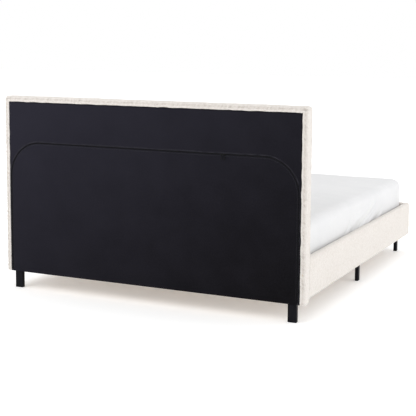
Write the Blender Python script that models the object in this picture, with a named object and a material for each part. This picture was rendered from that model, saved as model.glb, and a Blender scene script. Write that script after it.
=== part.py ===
"""Upholstered headboard bed for a 1.80 x 2.00 m mattress.

The headboard stands at +Y and the foot end at -Y, +X is the right-hand side seen from the foot, and
the origin is on the floor under the middle of the bed. The headboard's back is closed by a black
cover whose arched flap opens on a zip and folds down about its bottom hem.
"""

import math

import bmesh
import bpy
from mathutils import Matrix, Vector

# Driving sizes, in metres
BED_WIDTH = 1.900
BED_LENGTH = 2.159
BED_HEIGHT = 1.150
MATTRESS_WIDTH = 1.800
MATTRESS_LENGTH = 2.000
HEADBOARD_DEPTH = 0.082
HEADBOARD_BOTTOM = 0.100
RAIL_BOTTOM = 0.118
RAIL_TOP = 0.345
RAIL_THICKNESS = 0.040
RAIL_STEP = 0.003  # from the headboard's side in to the rail's face
SLAT_TOP = 0.270

GAP = 0.0003  # between pieces that touch
OVERRUN = 0.010  # how far a cutter runs past the face that it opens
TIMBER_EASE = 0.001  # planed edges of the timber
LEG_EASE = 0.002
SLAT_EASE = 0.003
PULL_EASE = 0.0004
ZIP_PROUD = 0.007  # how far the zip pulls stand out behind the back cover
COVER_WALL = 0.003  # boucle cloth with its backing
FOAM = 0.015
PANEL = 0.005
RAIL_FOAM = 0.008
RAIL_EASE = 0.010  # soft upper edges
RAIL_EASE_LOW = 0.005
RAIL_END_EASE = 0.010  # the board and foam stop short of the cover's ends
SOFT_EDGE = 0.005  # the frame and foam stand back from the headboard's edges, which are soft
BACK_CLOTH = 0.0015
BACK_MARGIN = 0.027  # boucle turned round onto the back, at the sides
BACK_MARGIN_TOP = 0.030
CORNER_RADIUS = 0.020  # headboard's top corners

ZIP_RADIUS = 0.200
ZIP_HALF_WIDTH = 0.908
ZIP_TOP = 0.878
ZIP_MEETING_X = -0.473  # where the two sliders meet
COIL_WIDTH = 0.0028
COIL_PROUD = 0.0020
HEM_TOP = 0.112
SLIDER_LENGTH = 0.016
SLIDER_WIDTH = 0.010
PULL_LENGTH = 0.030
PULL_WIDTH = 0.007
PULL_THICKNESS = 0.0012
SLIDER_PLATE = 0.0012
SLIDER_STAND_OFF = 0.0004  # from the zip's teeth to the slider's plate
BRIDGE_RISE = 0.0030
BRIDGE_FOOT = 0.0040
BRIDGE_CROWN = 0.0030

HEAD_LEG_WIDTH = 0.050
HEAD_LEG_DEPTH = 0.025
HEAD_LEG_INSET = 0.050
HEAD_LEG_RECESS = 0.010
HEAD_LEG_TOP = 0.300
RAIL_LEG_WIDTH = 0.022  # the legs under the side rails and at the foot
RAIL_LEG_DEPTH = 0.033
FOOT_LEG_X = 0.8665
CENTRE_LEG = 0.045
CENTRE_LEG_Y = (0.45, -0.45)

POST_WIDTH = 0.046
FRAME_RAIL_TOP = 0.045
FRAME_RAIL_BOTTOM = 0.060
LEDGER_WIDTH = 0.025
LEDGER_DEPTH = 0.040
BEAM_WIDTH = 0.040
BEAM_DEPTH = 0.060
BRACKET = 0.003  # steel plate
BRACKET_REACH = 0.055
FOOT_BRACKET_REACH = 0.028  # short of the foot leg
BRACKET_ABOVE = 0.010  # over the rail's bottom edge
BRACKET_BELOW = 0.006  # under the ledger
SEAT_BESIDE = 0.0320  # half width of the beam's seats
SEAT_SHELF = 0.045
SEAT_TOP_BELOW = 0.004  # under the slats
SLAT_COUNT = 13
SLAT_WIDTH = 0.070
SLAT_THICKNESS = 0.017
SLAT_HALF_LENGTH = 0.9045
SLAT_END_SPACE = 0.060
WEB_WIDTH = 0.025
WEB_THICKNESS = 0.0012
WEB_X = 0.450
WEB_SHORT = 0.010  # from the webbing's end to the last slat's edge
MATTRESS_TOP = 0.522
MATTRESS_BOTTOM = 0.2718
SHEET = 0.0025
SHEET_HEM = 0.280
MATTRESS_CORNER = 0.060
MATTRESS_EDGE = 0.050
MATTRESS_GAP = 0.004  # to the headboard

# Places that follow from them
HALF_WIDTH = BED_WIDTH / 2
FOOT_Y = -BED_LENGTH / 2
BACK_Y = BED_LENGTH / 2 - ZIP_PROUD  # outer face of the back cover
FRONT_Y = BACK_Y - HEADBOARD_DEPTH
FOAM_Y = FRONT_Y + COVER_WALL + GAP
PANEL_Y = FOAM_Y + FOAM + GAP
FRAME_FRONT_Y = PANEL_Y + PANEL + GAP
MARGIN_Y = BACK_Y - COVER_WALL
FRAME_BACK_Y = MARGIN_Y - GAP
BACK_CLOTH_Y = BACK_Y - BACK_CLOTH
RAIL_X = HALF_WIDTH - RAIL_STEP  # outer face of the side rails
RAIL_INNER_X = RAIL_X - RAIL_THICKNESS
FOOTBOARD_Y = FOOT_Y + RAIL_THICKNESS
MID_RAIL_Y = (FRONT_Y + FOOTBOARD_Y) / 2
SLAT_BOTTOM = SLAT_TOP - SLAT_THICKNESS
LEDGER_BOTTOM = SLAT_BOTTOM - GAP - LEDGER_DEPTH
BEAM_BOTTOM = SLAT_BOTTOM - GAP - BEAM_DEPTH
POST_INNER_X = HALF_WIDTH - COVER_WALL - GAP - POST_WIDTH
MATTRESS_HEAD_Y = FRONT_Y - MATTRESS_GAP
MATTRESS_FOOT_Y = MATTRESS_HEAD_Y - MATTRESS_LENGTH
SIDES = (("left", -1), ("right", 1))


def make_material(name, colour, roughness, metallic=0.0):
    """A Principled BSDF material of one colour."""
    material = bpy.data.materials.new(name)
    material.use_nodes = True
    shader = material.node_tree.nodes["Principled BSDF"]
    shader.inputs["Base Color"].default_value = (*colour, 1.0)
    shader.inputs["Roughness"].default_value = roughness
    shader.inputs["Metallic"].default_value = metallic
    return material


def make_empty(name, place):
    """A parent for the pieces of one body, on its joint's axis."""
    empty = bpy.data.objects.new(name, None)
    empty.location = place
    empty.empty_display_size = 0.05
    bpy.context.collection.objects.link(empty)
    return empty


def add_object(name, mesh, material, parent, place=(0.0, 0.0, 0.0)):
    """Links a bmesh as a named object that keeps its place in the world under its parent."""
    data = bpy.data.meshes.new(name)
    bmesh.ops.recalc_face_normals(mesh, faces=mesh.faces)
    mesh.to_mesh(data)
    mesh.free()
    obj = bpy.data.objects.new(name, data)
    bpy.context.collection.objects.link(obj)
    obj.location = place
    if material:
        data.materials.append(material)
    if parent:
        obj.parent = parent
        obj.matrix_parent_inverse = Matrix.Translation(-parent.location)
    return obj


def add_box(name, low, high, material, parent, edge=0.0):
    """A block from its low corner to its high corner, its edges eased by a Bevel."""
    low, high = Vector(low), Vector(high)
    mesh = bmesh.new()
    bmesh.ops.create_cube(mesh, size=1.0)
    bmesh.ops.scale(mesh, vec=high - low, verts=mesh.verts)
    obj = add_object(name, mesh, material, parent, (low + high) / 2)
    if edge:
        ease_edges(obj, edge)
    return obj


def ease_edges(obj, width, segments=1):
    """Adds a Bevel to every edge sharper than 40 degrees."""
    bevel = obj.modifiers.new("eased edges", "BEVEL")
    bevel.width = width
    bevel.segments = segments
    bevel.limit_method = "ANGLE"
    bevel.angle_limit = math.radians(40)


def add_prism(name, outline, axis, start, end, material, parent):
    """An outline of (a, b) points drawn across one axis and extruded along it from start to end.

    Across X the points are (y, z), across Y (x, z) and across Z (x, y).
    """
    place = {
        "X": lambda a, b: (start, a, b),
        "Y": lambda a, b: (a, start, b),
        "Z": lambda a, b: (a, b, start),
    }[axis]
    along = Vector([(end - start) * (letter == axis) for letter in "XYZ"])
    mesh = bmesh.new()
    face = mesh.faces.new([mesh.verts.new(place(a, b)) for a, b in outline])
    grown = bmesh.ops.extrude_face_region(mesh, geom=[face])
    moved = [item for item in grown["geom"] if isinstance(item, bmesh.types.BMVert)]
    bmesh.ops.translate(mesh, vec=along, verts=moved)
    return add_object(name, mesh, material, parent)


def cut_away(obj, cutter):
    """Takes the cutter's shape out of an object."""
    cutter.hide_render = True
    cutter.display_type = "WIRE"
    boolean = obj.modifiers.new("cut " + cutter.name, "BOOLEAN")
    boolean.operation = "DIFFERENCE"
    boolean.solver = "EXACT"
    boolean.object = cutter


def arc(centre, radius, first, last, steps):
    """Points of an arc about a centre, with its angles in degrees."""
    turns = [math.radians(first + (last - first) * i / steps) for i in range(steps + 1)]
    return [(centre[0] + radius * math.cos(t), centre[1] + radius * math.sin(t)) for t in turns]


def arch(half_width, bottom, top, radius, steps=10):
    """An upright outline with square bottom corners and round top ones."""
    shoulder, height = half_width - radius, top - radius
    right = arc((shoulder, height), radius, 0, 90, steps)
    left = arc((-shoulder, height), radius, 90, 180, steps)
    return [(-half_width, bottom), (half_width, bottom)] + right + left


def slab(low_a, low_b, high_a, high_b):
    """A rectangle's outline."""
    return [(low_a, low_b), (high_a, low_b), (high_a, high_b), (low_a, high_b)]


def make_materials():
    """Every finish, by its slot name."""
    return {
        "boucle": make_material("boucle", (0.82, 0.77, 0.71), 0.95),
        "back_cloth": make_material("back_cloth", (0.012, 0.012, 0.014), 0.85),
        "zip_coil": make_material("zip_coil", (0.010, 0.010, 0.012), 0.45),
        "zip_metal": make_material("zip_metal", (0.02, 0.02, 0.022), 0.35, 1.0),
        "pine": make_material("pine", (0.62, 0.43, 0.25), 0.60),
        "plywood": make_material("plywood", (0.60, 0.44, 0.28), 0.65),
        "leg_black": make_material("leg_black", (0.014, 0.014, 0.018), 0.45),
        "steel_black": make_material("steel_black", (0.02, 0.02, 0.02), 0.40, 1.0),
        "foam": make_material("foam", (0.80, 0.74, 0.55), 0.90),
        "webbing": make_material("webbing", (0.70, 0.68, 0.64), 0.85),
        "ticking": make_material("ticking", (0.80, 0.80, 0.80), 0.85),
        "sheet": make_material("sheet", (0.88, 0.88, 0.90), 0.80),
    }


def make_headboard(finish, frame):
    """Pine frame, plywood front, foam and the boucle cover that wraps round to the back."""
    inside = HALF_WIDTH - COVER_WALL - GAP
    frame_top = BED_HEIGHT - COVER_WALL - GAP
    frame_bottom = HEADBOARD_BOTTOM + COVER_WALL
    post_top = frame_top - FRAME_RAIL_TOP - GAP
    corner = CORNER_RADIUS - COVER_WALL - GAP
    leg_inner_x = HALF_WIDTH - HEAD_LEG_INSET - HEAD_LEG_WIDTH - GAP
    pine = finish["pine"]
    add_box(
        "headboard_top_rail",
        (corner - inside, FRAME_FRONT_Y, frame_top - FRAME_RAIL_TOP),
        (inside - corner, FRAME_BACK_Y, frame_top - SOFT_EDGE),
        pine, frame, TIMBER_EASE,
    )
    add_box(
        "headboard_bottom_rail",
        (-leg_inner_x, FRAME_FRONT_Y, frame_bottom),
        (leg_inner_x, FRAME_BACK_Y, frame_bottom + FRAME_RAIL_BOTTOM),
        pine, frame, TIMBER_EASE,
    )
    for side, sign in SIDES:
        across = sorted((sign * POST_INNER_X, sign * (inside - SOFT_EDGE)))
        add_box(
            f"headboard_{side}_post",
            (across[0], FRAME_FRONT_Y, frame_bottom),
            (across[1], FRAME_BACK_Y, post_top),
            pine, frame, TIMBER_EASE,
        )
    add_box(
        "headboard_centre_post",
        (-POST_WIDTH / 2, FRAME_FRONT_Y, frame_bottom + FRAME_RAIL_BOTTOM + GAP),
        (POST_WIDTH / 2, FRAME_BACK_Y, post_top),
        pine, frame, TIMBER_EASE,
    )
    board = arch(inside, frame_bottom, frame_top, corner, 5)
    add_prism("headboard_panel", board, "Y", PANEL_Y, PANEL_Y + PANEL, finish["plywood"], frame)
    pad = arch(inside - SOFT_EDGE, frame_bottom, frame_top - SOFT_EDGE, corner, 5)
    add_prism("headboard_foam", pad, "Y", FOAM_Y, FOAM_Y + FOAM, finish["foam"], frame)

    outside = arch(HALF_WIDTH, HEADBOARD_BOTTOM, BED_HEIGHT, CORNER_RADIUS, 6)
    cover = add_prism("headboard_cover", outside, "Y", FRONT_Y, BACK_Y, finish["boucle"], frame)
    below = HEADBOARD_BOTTOM - OVERRUN
    room = arch(HALF_WIDTH - COVER_WALL, below, BED_HEIGHT - COVER_WALL, CORNER_RADIUS - COVER_WALL, 6)
    cut_away(cover, add_prism("cover_room", room, "Y", FRONT_Y + COVER_WALL, MARGIN_Y, None, frame))
    mouth_x = HALF_WIDTH - BACK_MARGIN + GAP
    mouth = slab(-mouth_x, below, mouth_x, BED_HEIGHT - BACK_MARGIN_TOP + GAP)
    through = (MARGIN_Y - OVERRUN, BACK_Y + OVERRUN)
    cut_away(cover, add_prism("cover_mouth", mouth, "Y", *through, None, frame))

    for side, sign in SIDES:
        outer = HALF_WIDTH - HEAD_LEG_INSET
        across = sorted((sign * outer, sign * (outer - HEAD_LEG_WIDTH)))
        leg_back = BACK_Y - HEAD_LEG_RECESS
        add_box(
            f"headboard_leg_{side}",
            (across[0], leg_back - HEAD_LEG_DEPTH, 0.0),
            (across[1], leg_back, HEAD_LEG_TOP),
            finish["leg_black"], frame, LEG_EASE,
        )


def zip_line(offset):
    """The zip's arch, grown by an offset."""
    return arch(ZIP_HALF_WIDTH + offset, HEM_TOP, ZIP_TOP + offset, ZIP_RADIUS + offset, 12)


def coil_outline(near, far):
    """A band along the zip's arch between two offsets, as one open-ended outline."""
    outer, inner = zip_line(far), zip_line(near)
    return outer[1:] + outer[:1] + inner[:1] + inner[:0:-1]


def make_back_cover(finish, frame, flap):
    """The fixed border of the black back cover, its flap, and the two halves of the zip."""
    cloth, coil = finish["back_cloth"], finish["zip_coil"]
    reach = COIL_WIDTH + 2 * GAP
    edge_x = HALF_WIDTH - BACK_MARGIN
    panel = slab(-edge_x, HEADBOARD_BOTTOM, edge_x, BED_HEIGHT - BACK_MARGIN_TOP)
    border = add_prism("back_cover_border", panel, "Y", BACK_CLOTH_Y, BACK_Y, cloth, frame)
    doorway = arch(
        ZIP_HALF_WIDTH + reach, HEM_TOP - GAP, ZIP_TOP + reach, ZIP_RADIUS + reach, 12
    )
    through = (BACK_CLOTH_Y - OVERRUN, BACK_Y + OVERRUN)
    cut_away(border, add_prism("flap_doorway", doorway, "Y", *through, None, frame))
    add_prism("back_cover_flap", zip_line(-reach), "Y", BACK_CLOTH_Y, BACK_Y, cloth, flap)
    proud = BACK_Y + COIL_PROUD
    add_prism("zip_coil_border", coil_outline(GAP, GAP + COIL_WIDTH), "Y", BACK_CLOTH_Y, proud, coil, frame)
    add_prism("zip_coil_flap", coil_outline(-GAP - COIL_WIDTH, -GAP), "Y", BACK_CLOTH_Y, proud, coil, flap)


def make_zip_sliders(finish):
    """Two sliders head to head on the zip's top run, each with a pull that hangs from its bridge."""
    metal = finish["zip_metal"]
    plate_y = BACK_Y + COIL_PROUD + SLIDER_STAND_OFF
    top_y, bridge_y = plate_y + SLIDER_PLATE, plate_y + BRIDGE_RISE
    half, foot, crown = SLIDER_WIDTH / 2, BRIDGE_FOOT / 2, BRIDGE_CROWN / 2
    profile = [
        (plate_y, ZIP_TOP - half), (plate_y, ZIP_TOP + half),
        (top_y, ZIP_TOP + half), (top_y, ZIP_TOP + foot),
        (bridge_y, ZIP_TOP + crown), (bridge_y, ZIP_TOP - crown),
        (top_y, ZIP_TOP - foot), (top_y, ZIP_TOP - half),
    ]
    pull_y = BED_LENGTH / 2 - PULL_THICKNESS
    axis_y = pull_y + PULL_THICKNESS / 2
    for side, sign in SIDES:
        middle = ZIP_MEETING_X + sign * (SLIDER_LENGTH / 2 + GAP)
        slider = make_empty(f"slider_place_{side}", (middle, plate_y, ZIP_TOP))
        add_prism(
            f"zip_slider_{side}", profile, "X",
            middle - SLIDER_LENGTH / 2, middle + SLIDER_LENGTH / 2, metal, slider,
        )
        hinge = make_empty(f"pull_hinge_{side}", (middle, axis_y, ZIP_TOP))
        add_box(
            f"zip_pull_{side}",
            (middle - PULL_WIDTH / 2, pull_y, ZIP_TOP + PULL_THICKNESS / 2 - PULL_LENGTH),
            (middle + PULL_WIDTH / 2, pull_y + PULL_THICKNESS, ZIP_TOP + PULL_THICKNESS / 2),
            metal, hinge, PULL_EASE,
        )


def eased(near, far, low, high, ease_low, ease_high):
    """A rail's section: a rectangle with its lower and upper corners cut off."""
    return [
        (near + ease_low, low), (far - ease_low, low), (far, low + ease_low), (far, high - ease_high),
        (far - ease_high, high), (near + ease_high, high), (near, high - ease_high), (near, low + ease_low),
    ]


def padded_board(names, across, outline_of, finish, frame):
    """A board with foam over its outer face and top, inside a tube of boucle.

    names are the board, foam and cover, across is (axis, start, end) of the run, and outline_of turns
    a depth from the outer face and a height into the outline's coordinates.
    """
    axis, start, end = across
    near, far = COVER_WALL, RAIL_THICKNESS - COVER_WALL
    low, high = RAIL_BOTTOM + COVER_WALL, RAIL_TOP - COVER_WALL

    def add(name, outline, ease, material):
        points = [outline_of(*point) for point in outline]
        return add_prism(name, points, axis, start + ease, end - ease, material, frame)

    shell = eased(0.0, RAIL_THICKNESS, RAIL_BOTTOM, RAIL_TOP, RAIL_EASE_LOW, RAIL_EASE)
    cover = add(names[2], shell, 0.0, finish["boucle"])
    room = eased(near, far, low, high, RAIL_EASE_LOW, RAIL_EASE)
    cut_away(cover, add(names[2] + "_room", room, -OVERRUN, None))

    near, far, high = near + GAP, far - GAP, high - GAP
    board_near = near + RAIL_FOAM + GAP
    board_low, board_top = low + RAIL_EASE_LOW, high - RAIL_EASE - GAP
    board = slab(board_near, board_low, far, board_top)
    add(names[0], board, RAIL_END_EASE, finish["pine"])
    foam = [(near, board_low), (near + RAIL_FOAM, board_low), (near + RAIL_FOAM, board_top + GAP)]
    foam += [(far, board_top + GAP), (far, board_top + 2 * GAP)]
    foam += [(far - RAIL_EASE, high), (near + RAIL_EASE, high), (near, high - RAIL_EASE)]
    add(names[1], foam, RAIL_END_EASE, finish["foam"])


def make_side_rails(finish, frame):
    """Side rails with the ledgers that carry the slats, and a leg under the middle of each."""
    for side, sign in SIDES:
        names = (f"side_rail_board_{side}", f"side_rail_foam_{side}", f"side_rail_cover_{side}")
        # the outline lies across Y, so a depth from the outer face is an x
        padded_board(
            names, ("Y", FOOTBOARD_Y + GAP, FRONT_Y - GAP),
            lambda depth, height, sign=sign: (sign * (RAIL_X - depth), height), finish, frame,
        )
        outer = RAIL_INNER_X - GAP
        across = sorted((sign * outer, sign * (outer - LEDGER_WIDTH)))
        add_box(
            f"slat_ledger_{side}",
            (across[0], FOOTBOARD_Y + GAP, LEDGER_BOTTOM),
            (across[1], FRONT_Y - GAP, SLAT_BOTTOM - GAP),
            finish["pine"], frame, TIMBER_EASE,
        )
        across = sorted((sign * outer, sign * (outer - RAIL_LEG_WIDTH)))
        add_box(
            f"mid_leg_{side}",
            (across[0], MID_RAIL_Y - RAIL_LEG_DEPTH / 2, 0.0),
            (across[1], MID_RAIL_Y + RAIL_LEG_DEPTH / 2, LEDGER_BOTTOM - GAP),
            finish["leg_black"], frame, LEG_EASE,
        )


def make_footboard(finish, frame):
    """The footboard runs past the ends of the side rails and stands on a leg near each corner."""
    names = ("footboard_board", "footboard_foam", "footboard_cover")
    # the outline lies across X, so a depth from the outer face is a y
    padded_board(
        names, ("X", -RAIL_X, RAIL_X),
        lambda depth, height: (FOOT_Y + depth, height), finish, frame,
    )
    for side, sign in SIDES:
        middle = sign * FOOT_LEG_X
        add_box(
            f"foot_leg_{side}",
            (middle - RAIL_LEG_WIDTH / 2, FOOTBOARD_Y + GAP, 0.0),
            (middle + RAIL_LEG_WIDTH / 2, FOOTBOARD_Y + GAP + RAIL_LEG_DEPTH, LEDGER_BOTTOM - GAP),
            finish["leg_black"], frame, LEG_EASE,
        )


def angle_outline(corner, reach_a, reach_b):
    """An L of plate with its heel at a corner; each reach is signed."""
    a, b = corner
    plate_a, plate_b = math.copysign(BRACKET, reach_a), math.copysign(BRACKET, reach_b)
    return [
        (a, b), (a + reach_a, b), (a + reach_a, b + plate_b),
        (a + plate_a, b + plate_b), (a + plate_a, b + reach_b), (a, b + reach_b),
    ]


def make_brackets(finish, frame):
    """Steel angles that bolt the rails to the headboard and to the footboard."""
    low, high = RAIL_BOTTOM + BRACKET_ABOVE, LEDGER_BOTTOM - BRACKET_BELOW
    ends = (("head", FRONT_Y - GAP, -1), ("foot", FOOTBOARD_Y + GAP, 1))
    for end, heel_y, along in ends:
        reach_x = BRACKET_REACH if end == "head" else FOOT_BRACKET_REACH
        for side, sign in SIDES:
            heel = (sign * (RAIL_INNER_X - GAP), heel_y)
            outline = angle_outline(heel, -sign * reach_x, along * BRACKET_REACH)
            add_prism(f"{end}_bracket_{side}", outline, "Z", low, high, finish["steel_black"], frame)


def make_centre_beam(finish, frame):
    """The beam under the slats, the steel seats at its ends and the two legs under it."""
    plate = BRACKET + 2 * GAP
    add_box(
        "centre_beam",
        (-BEAM_WIDTH / 2, FOOTBOARD_Y + plate, BEAM_BOTTOM),
        (BEAM_WIDTH / 2, FRONT_Y - plate, SLAT_BOTTOM - GAP),
        finish["pine"], frame, TIMBER_EASE,
    )
    ends = (("head", FRONT_Y - GAP, -1), ("foot", FOOTBOARD_Y + GAP, 1))
    seat_top, back_top = BEAM_BOTTOM - GAP, SLAT_BOTTOM - SEAT_TOP_BELOW
    for end, wall, along in ends:
        outline = [
            (wall, seat_top - BRACKET), (wall, back_top),
            (wall + along * BRACKET, back_top), (wall + along * BRACKET, seat_top),
            (wall + along * SEAT_SHELF, seat_top), (wall + along * SEAT_SHELF, seat_top - BRACKET),
        ]
        add_prism(f"beam_seat_{end}", outline, "X", -SEAT_BESIDE, SEAT_BESIDE, finish["steel_black"], frame)
    for end, place_y in zip(("head", "foot"), CENTRE_LEG_Y):
        add_box(
            f"centre_leg_{end}",
            (-CENTRE_LEG / 2, place_y - CENTRE_LEG / 2, 0.0),
            (CENTRE_LEG / 2, place_y + CENTRE_LEG / 2, BEAM_BOTTOM - GAP),
            finish["leg_black"], frame, LEG_EASE,
        )


def make_slats(finish, slats):
    """Loose slats across both ledgers and the beam, tied by two webs so that they lift out together."""
    first = FOOTBOARD_Y + SLAT_END_SPACE
    last = FRONT_Y - SLAT_END_SPACE
    web_end = SLAT_WIDTH / 2 - WEB_SHORT
    for i in range(SLAT_COUNT):
        middle = first + (last - first) * i / (SLAT_COUNT - 1)
        add_box(
            f"slat_{i + 1:02d}",
            (-SLAT_HALF_LENGTH, middle - SLAT_WIDTH / 2, SLAT_BOTTOM),
            (SLAT_HALF_LENGTH, middle + SLAT_WIDTH / 2, SLAT_TOP),
            finish["pine"], slats, SLAT_EASE,
        )
    for side, sign in SIDES:
        add_box(
            f"slat_webbing_{side}",
            (sign * WEB_X - WEB_WIDTH / 2, first - web_end, SLAT_TOP + GAP),
            (sign * WEB_X + WEB_WIDTH / 2, last + web_end, SLAT_TOP + GAP + WEB_THICKNESS),
            finish["webbing"], slats,
        )


def mattress_block(name, inset, bottom, material, parent):
    """A block with wide upright corners and a soft top edge, smaller than the outside by an inset."""
    half, head, foot = MATTRESS_WIDTH / 2 - inset, MATTRESS_HEAD_Y - inset, MATTRESS_FOOT_Y + inset
    radius = MATTRESS_CORNER - inset
    outline = []
    for x_sign, y_side, first in ((1, head, 0), (-1, head, 90), (-1, foot, 180), (1, foot, 270)):
        y_sign = 1 if y_side == head else -1
        centre = (x_sign * (half - radius), y_side - y_sign * radius)
        outline += arc(centre, radius, first, first + 90, 5)
    top = MATTRESS_TOP - inset
    block = add_prism(name, outline, "Z", bottom, top, material, parent)
    mesh = bmesh.new()
    mesh.from_mesh(block.data)
    rim = [e for e in mesh.edges if all(v.co.z > top - GAP for v in e.verts)]
    bmesh.ops.bevel(
        mesh, geom=rim, offset=MATTRESS_EDGE - inset, segments=4, profile=0.5, affect="EDGES",
        clamp_overlap=True,
    )
    bmesh.ops.recalc_face_normals(mesh, faces=mesh.faces)
    mesh.to_mesh(block.data)
    mesh.free()
    return block


def make_mattress(finish, bedding):
    """The mattress and the fitted sheet stretched over it."""
    mattress_block("mattress", SHEET + GAP, MATTRESS_BOTTOM, finish["ticking"], bedding)
    sheet = mattress_block("fitted_sheet", 0.0, SHEET_HEM, finish["sheet"], bedding)
    cut_away(sheet, mattress_block("sheet_room", SHEET, SHEET_HEM - OVERRUN, None, bedding))


def main():
    """Builds the whole bed."""
    for obj in list(bpy.data.objects):
        bpy.data.objects.remove(obj, do_unlink=True)
    finish = make_materials()
    frame = make_empty("bed_frame", (0.0, 0.0, 0.0))
    flap = make_empty("flap_hinge", (0.0, BACK_Y, HEM_TOP))
    slats = make_empty("slat_base", (0.0, 0.0, SLAT_BOTTOM))
    bedding = make_empty("bedding", (0.0, 0.0, MATTRESS_BOTTOM))
    make_headboard(finish, frame)
    make_back_cover(finish, frame, flap)
    make_zip_sliders(finish)
    make_side_rails(finish, frame)
    make_footboard(finish, frame)
    make_brackets(finish, frame)
    make_centre_beam(finish, frame)
    make_slats(finish, slats)
    make_mattress(finish, bedding)


main()
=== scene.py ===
"""Looks of an upholstered headboard bed: boucle, black back cloth, zip, bedding, wood and steel.

The bed's frame comes packed from its CAD model. Each class below makes the visible pieces of one
sub-assembly around it, in metres and in the same frame: +Z up, headboard at +Y, foot end at -Y, and
the bed's left side at -X. Sizes come from the frame's own boxes wherever the frame has them.
"""
import logging
import math
from dataclasses import dataclass, field
from enum import Enum
from typing import Iterable, Sequence

import bmesh
import bpy
import numpy as np
from mathutils import Matrix, Vector


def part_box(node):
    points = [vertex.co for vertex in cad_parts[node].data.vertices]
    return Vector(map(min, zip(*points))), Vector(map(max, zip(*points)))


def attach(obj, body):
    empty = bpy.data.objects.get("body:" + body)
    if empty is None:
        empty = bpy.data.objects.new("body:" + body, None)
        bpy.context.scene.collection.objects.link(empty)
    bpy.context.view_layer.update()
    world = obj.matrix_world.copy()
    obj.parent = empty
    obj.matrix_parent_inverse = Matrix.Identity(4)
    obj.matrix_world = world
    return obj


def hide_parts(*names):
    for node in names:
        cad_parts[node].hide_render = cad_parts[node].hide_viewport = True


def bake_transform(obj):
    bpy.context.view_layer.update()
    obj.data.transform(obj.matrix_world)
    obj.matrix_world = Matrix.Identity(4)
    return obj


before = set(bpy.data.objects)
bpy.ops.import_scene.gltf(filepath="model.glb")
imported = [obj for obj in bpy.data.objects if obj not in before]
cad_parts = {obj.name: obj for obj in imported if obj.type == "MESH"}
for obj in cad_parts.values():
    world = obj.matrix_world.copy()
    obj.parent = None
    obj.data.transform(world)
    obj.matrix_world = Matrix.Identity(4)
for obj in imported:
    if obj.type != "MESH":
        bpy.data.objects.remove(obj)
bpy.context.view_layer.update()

WELD = 1e-5  # grids that share an edge are joined within this
TINY = 1e-9  # keeps a division by a zero length defined
FULL_TURN = 2 * math.pi
BACKWARD = (0.0, 1.0, 0.0)
DOWNWARD = (0.0, 0.0, -1.0)
log = logging.getLogger("bed")

Colour = tuple[float, float, float]
Point = tuple[float, float, float]
Piece = bpy.types.Object
Socket = bpy.types.NodeSocket
Material = bpy.types.Material


class Side(Enum):
    """The two sides of the bed, as the sign of X."""

    LEFT = -1
    RIGHT = 1

    @property
    def label(self) -> str:
        """The side's name, as the frame's nodes end."""
        return self.name.lower()


class Grain(Enum):
    """The direction that a board's grain runs in."""

    ALONG_X = (0.06, 1.0, 1.0)
    ALONG_Y = (1.0, 0.06, 1.0)
    ALONG_Z = (1.0, 1.0, 0.06)


class Body(Enum):
    """The frame's moving bodies that pieces ride on."""

    FRAME = "frame"
    FLAP = "back_flap"
    SLATS = "slat_base"
    BEDDING = "bedding"


# ---------------------------------------------------------------------------------------------
# Finishes
# ---------------------------------------------------------------------------------------------


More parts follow.
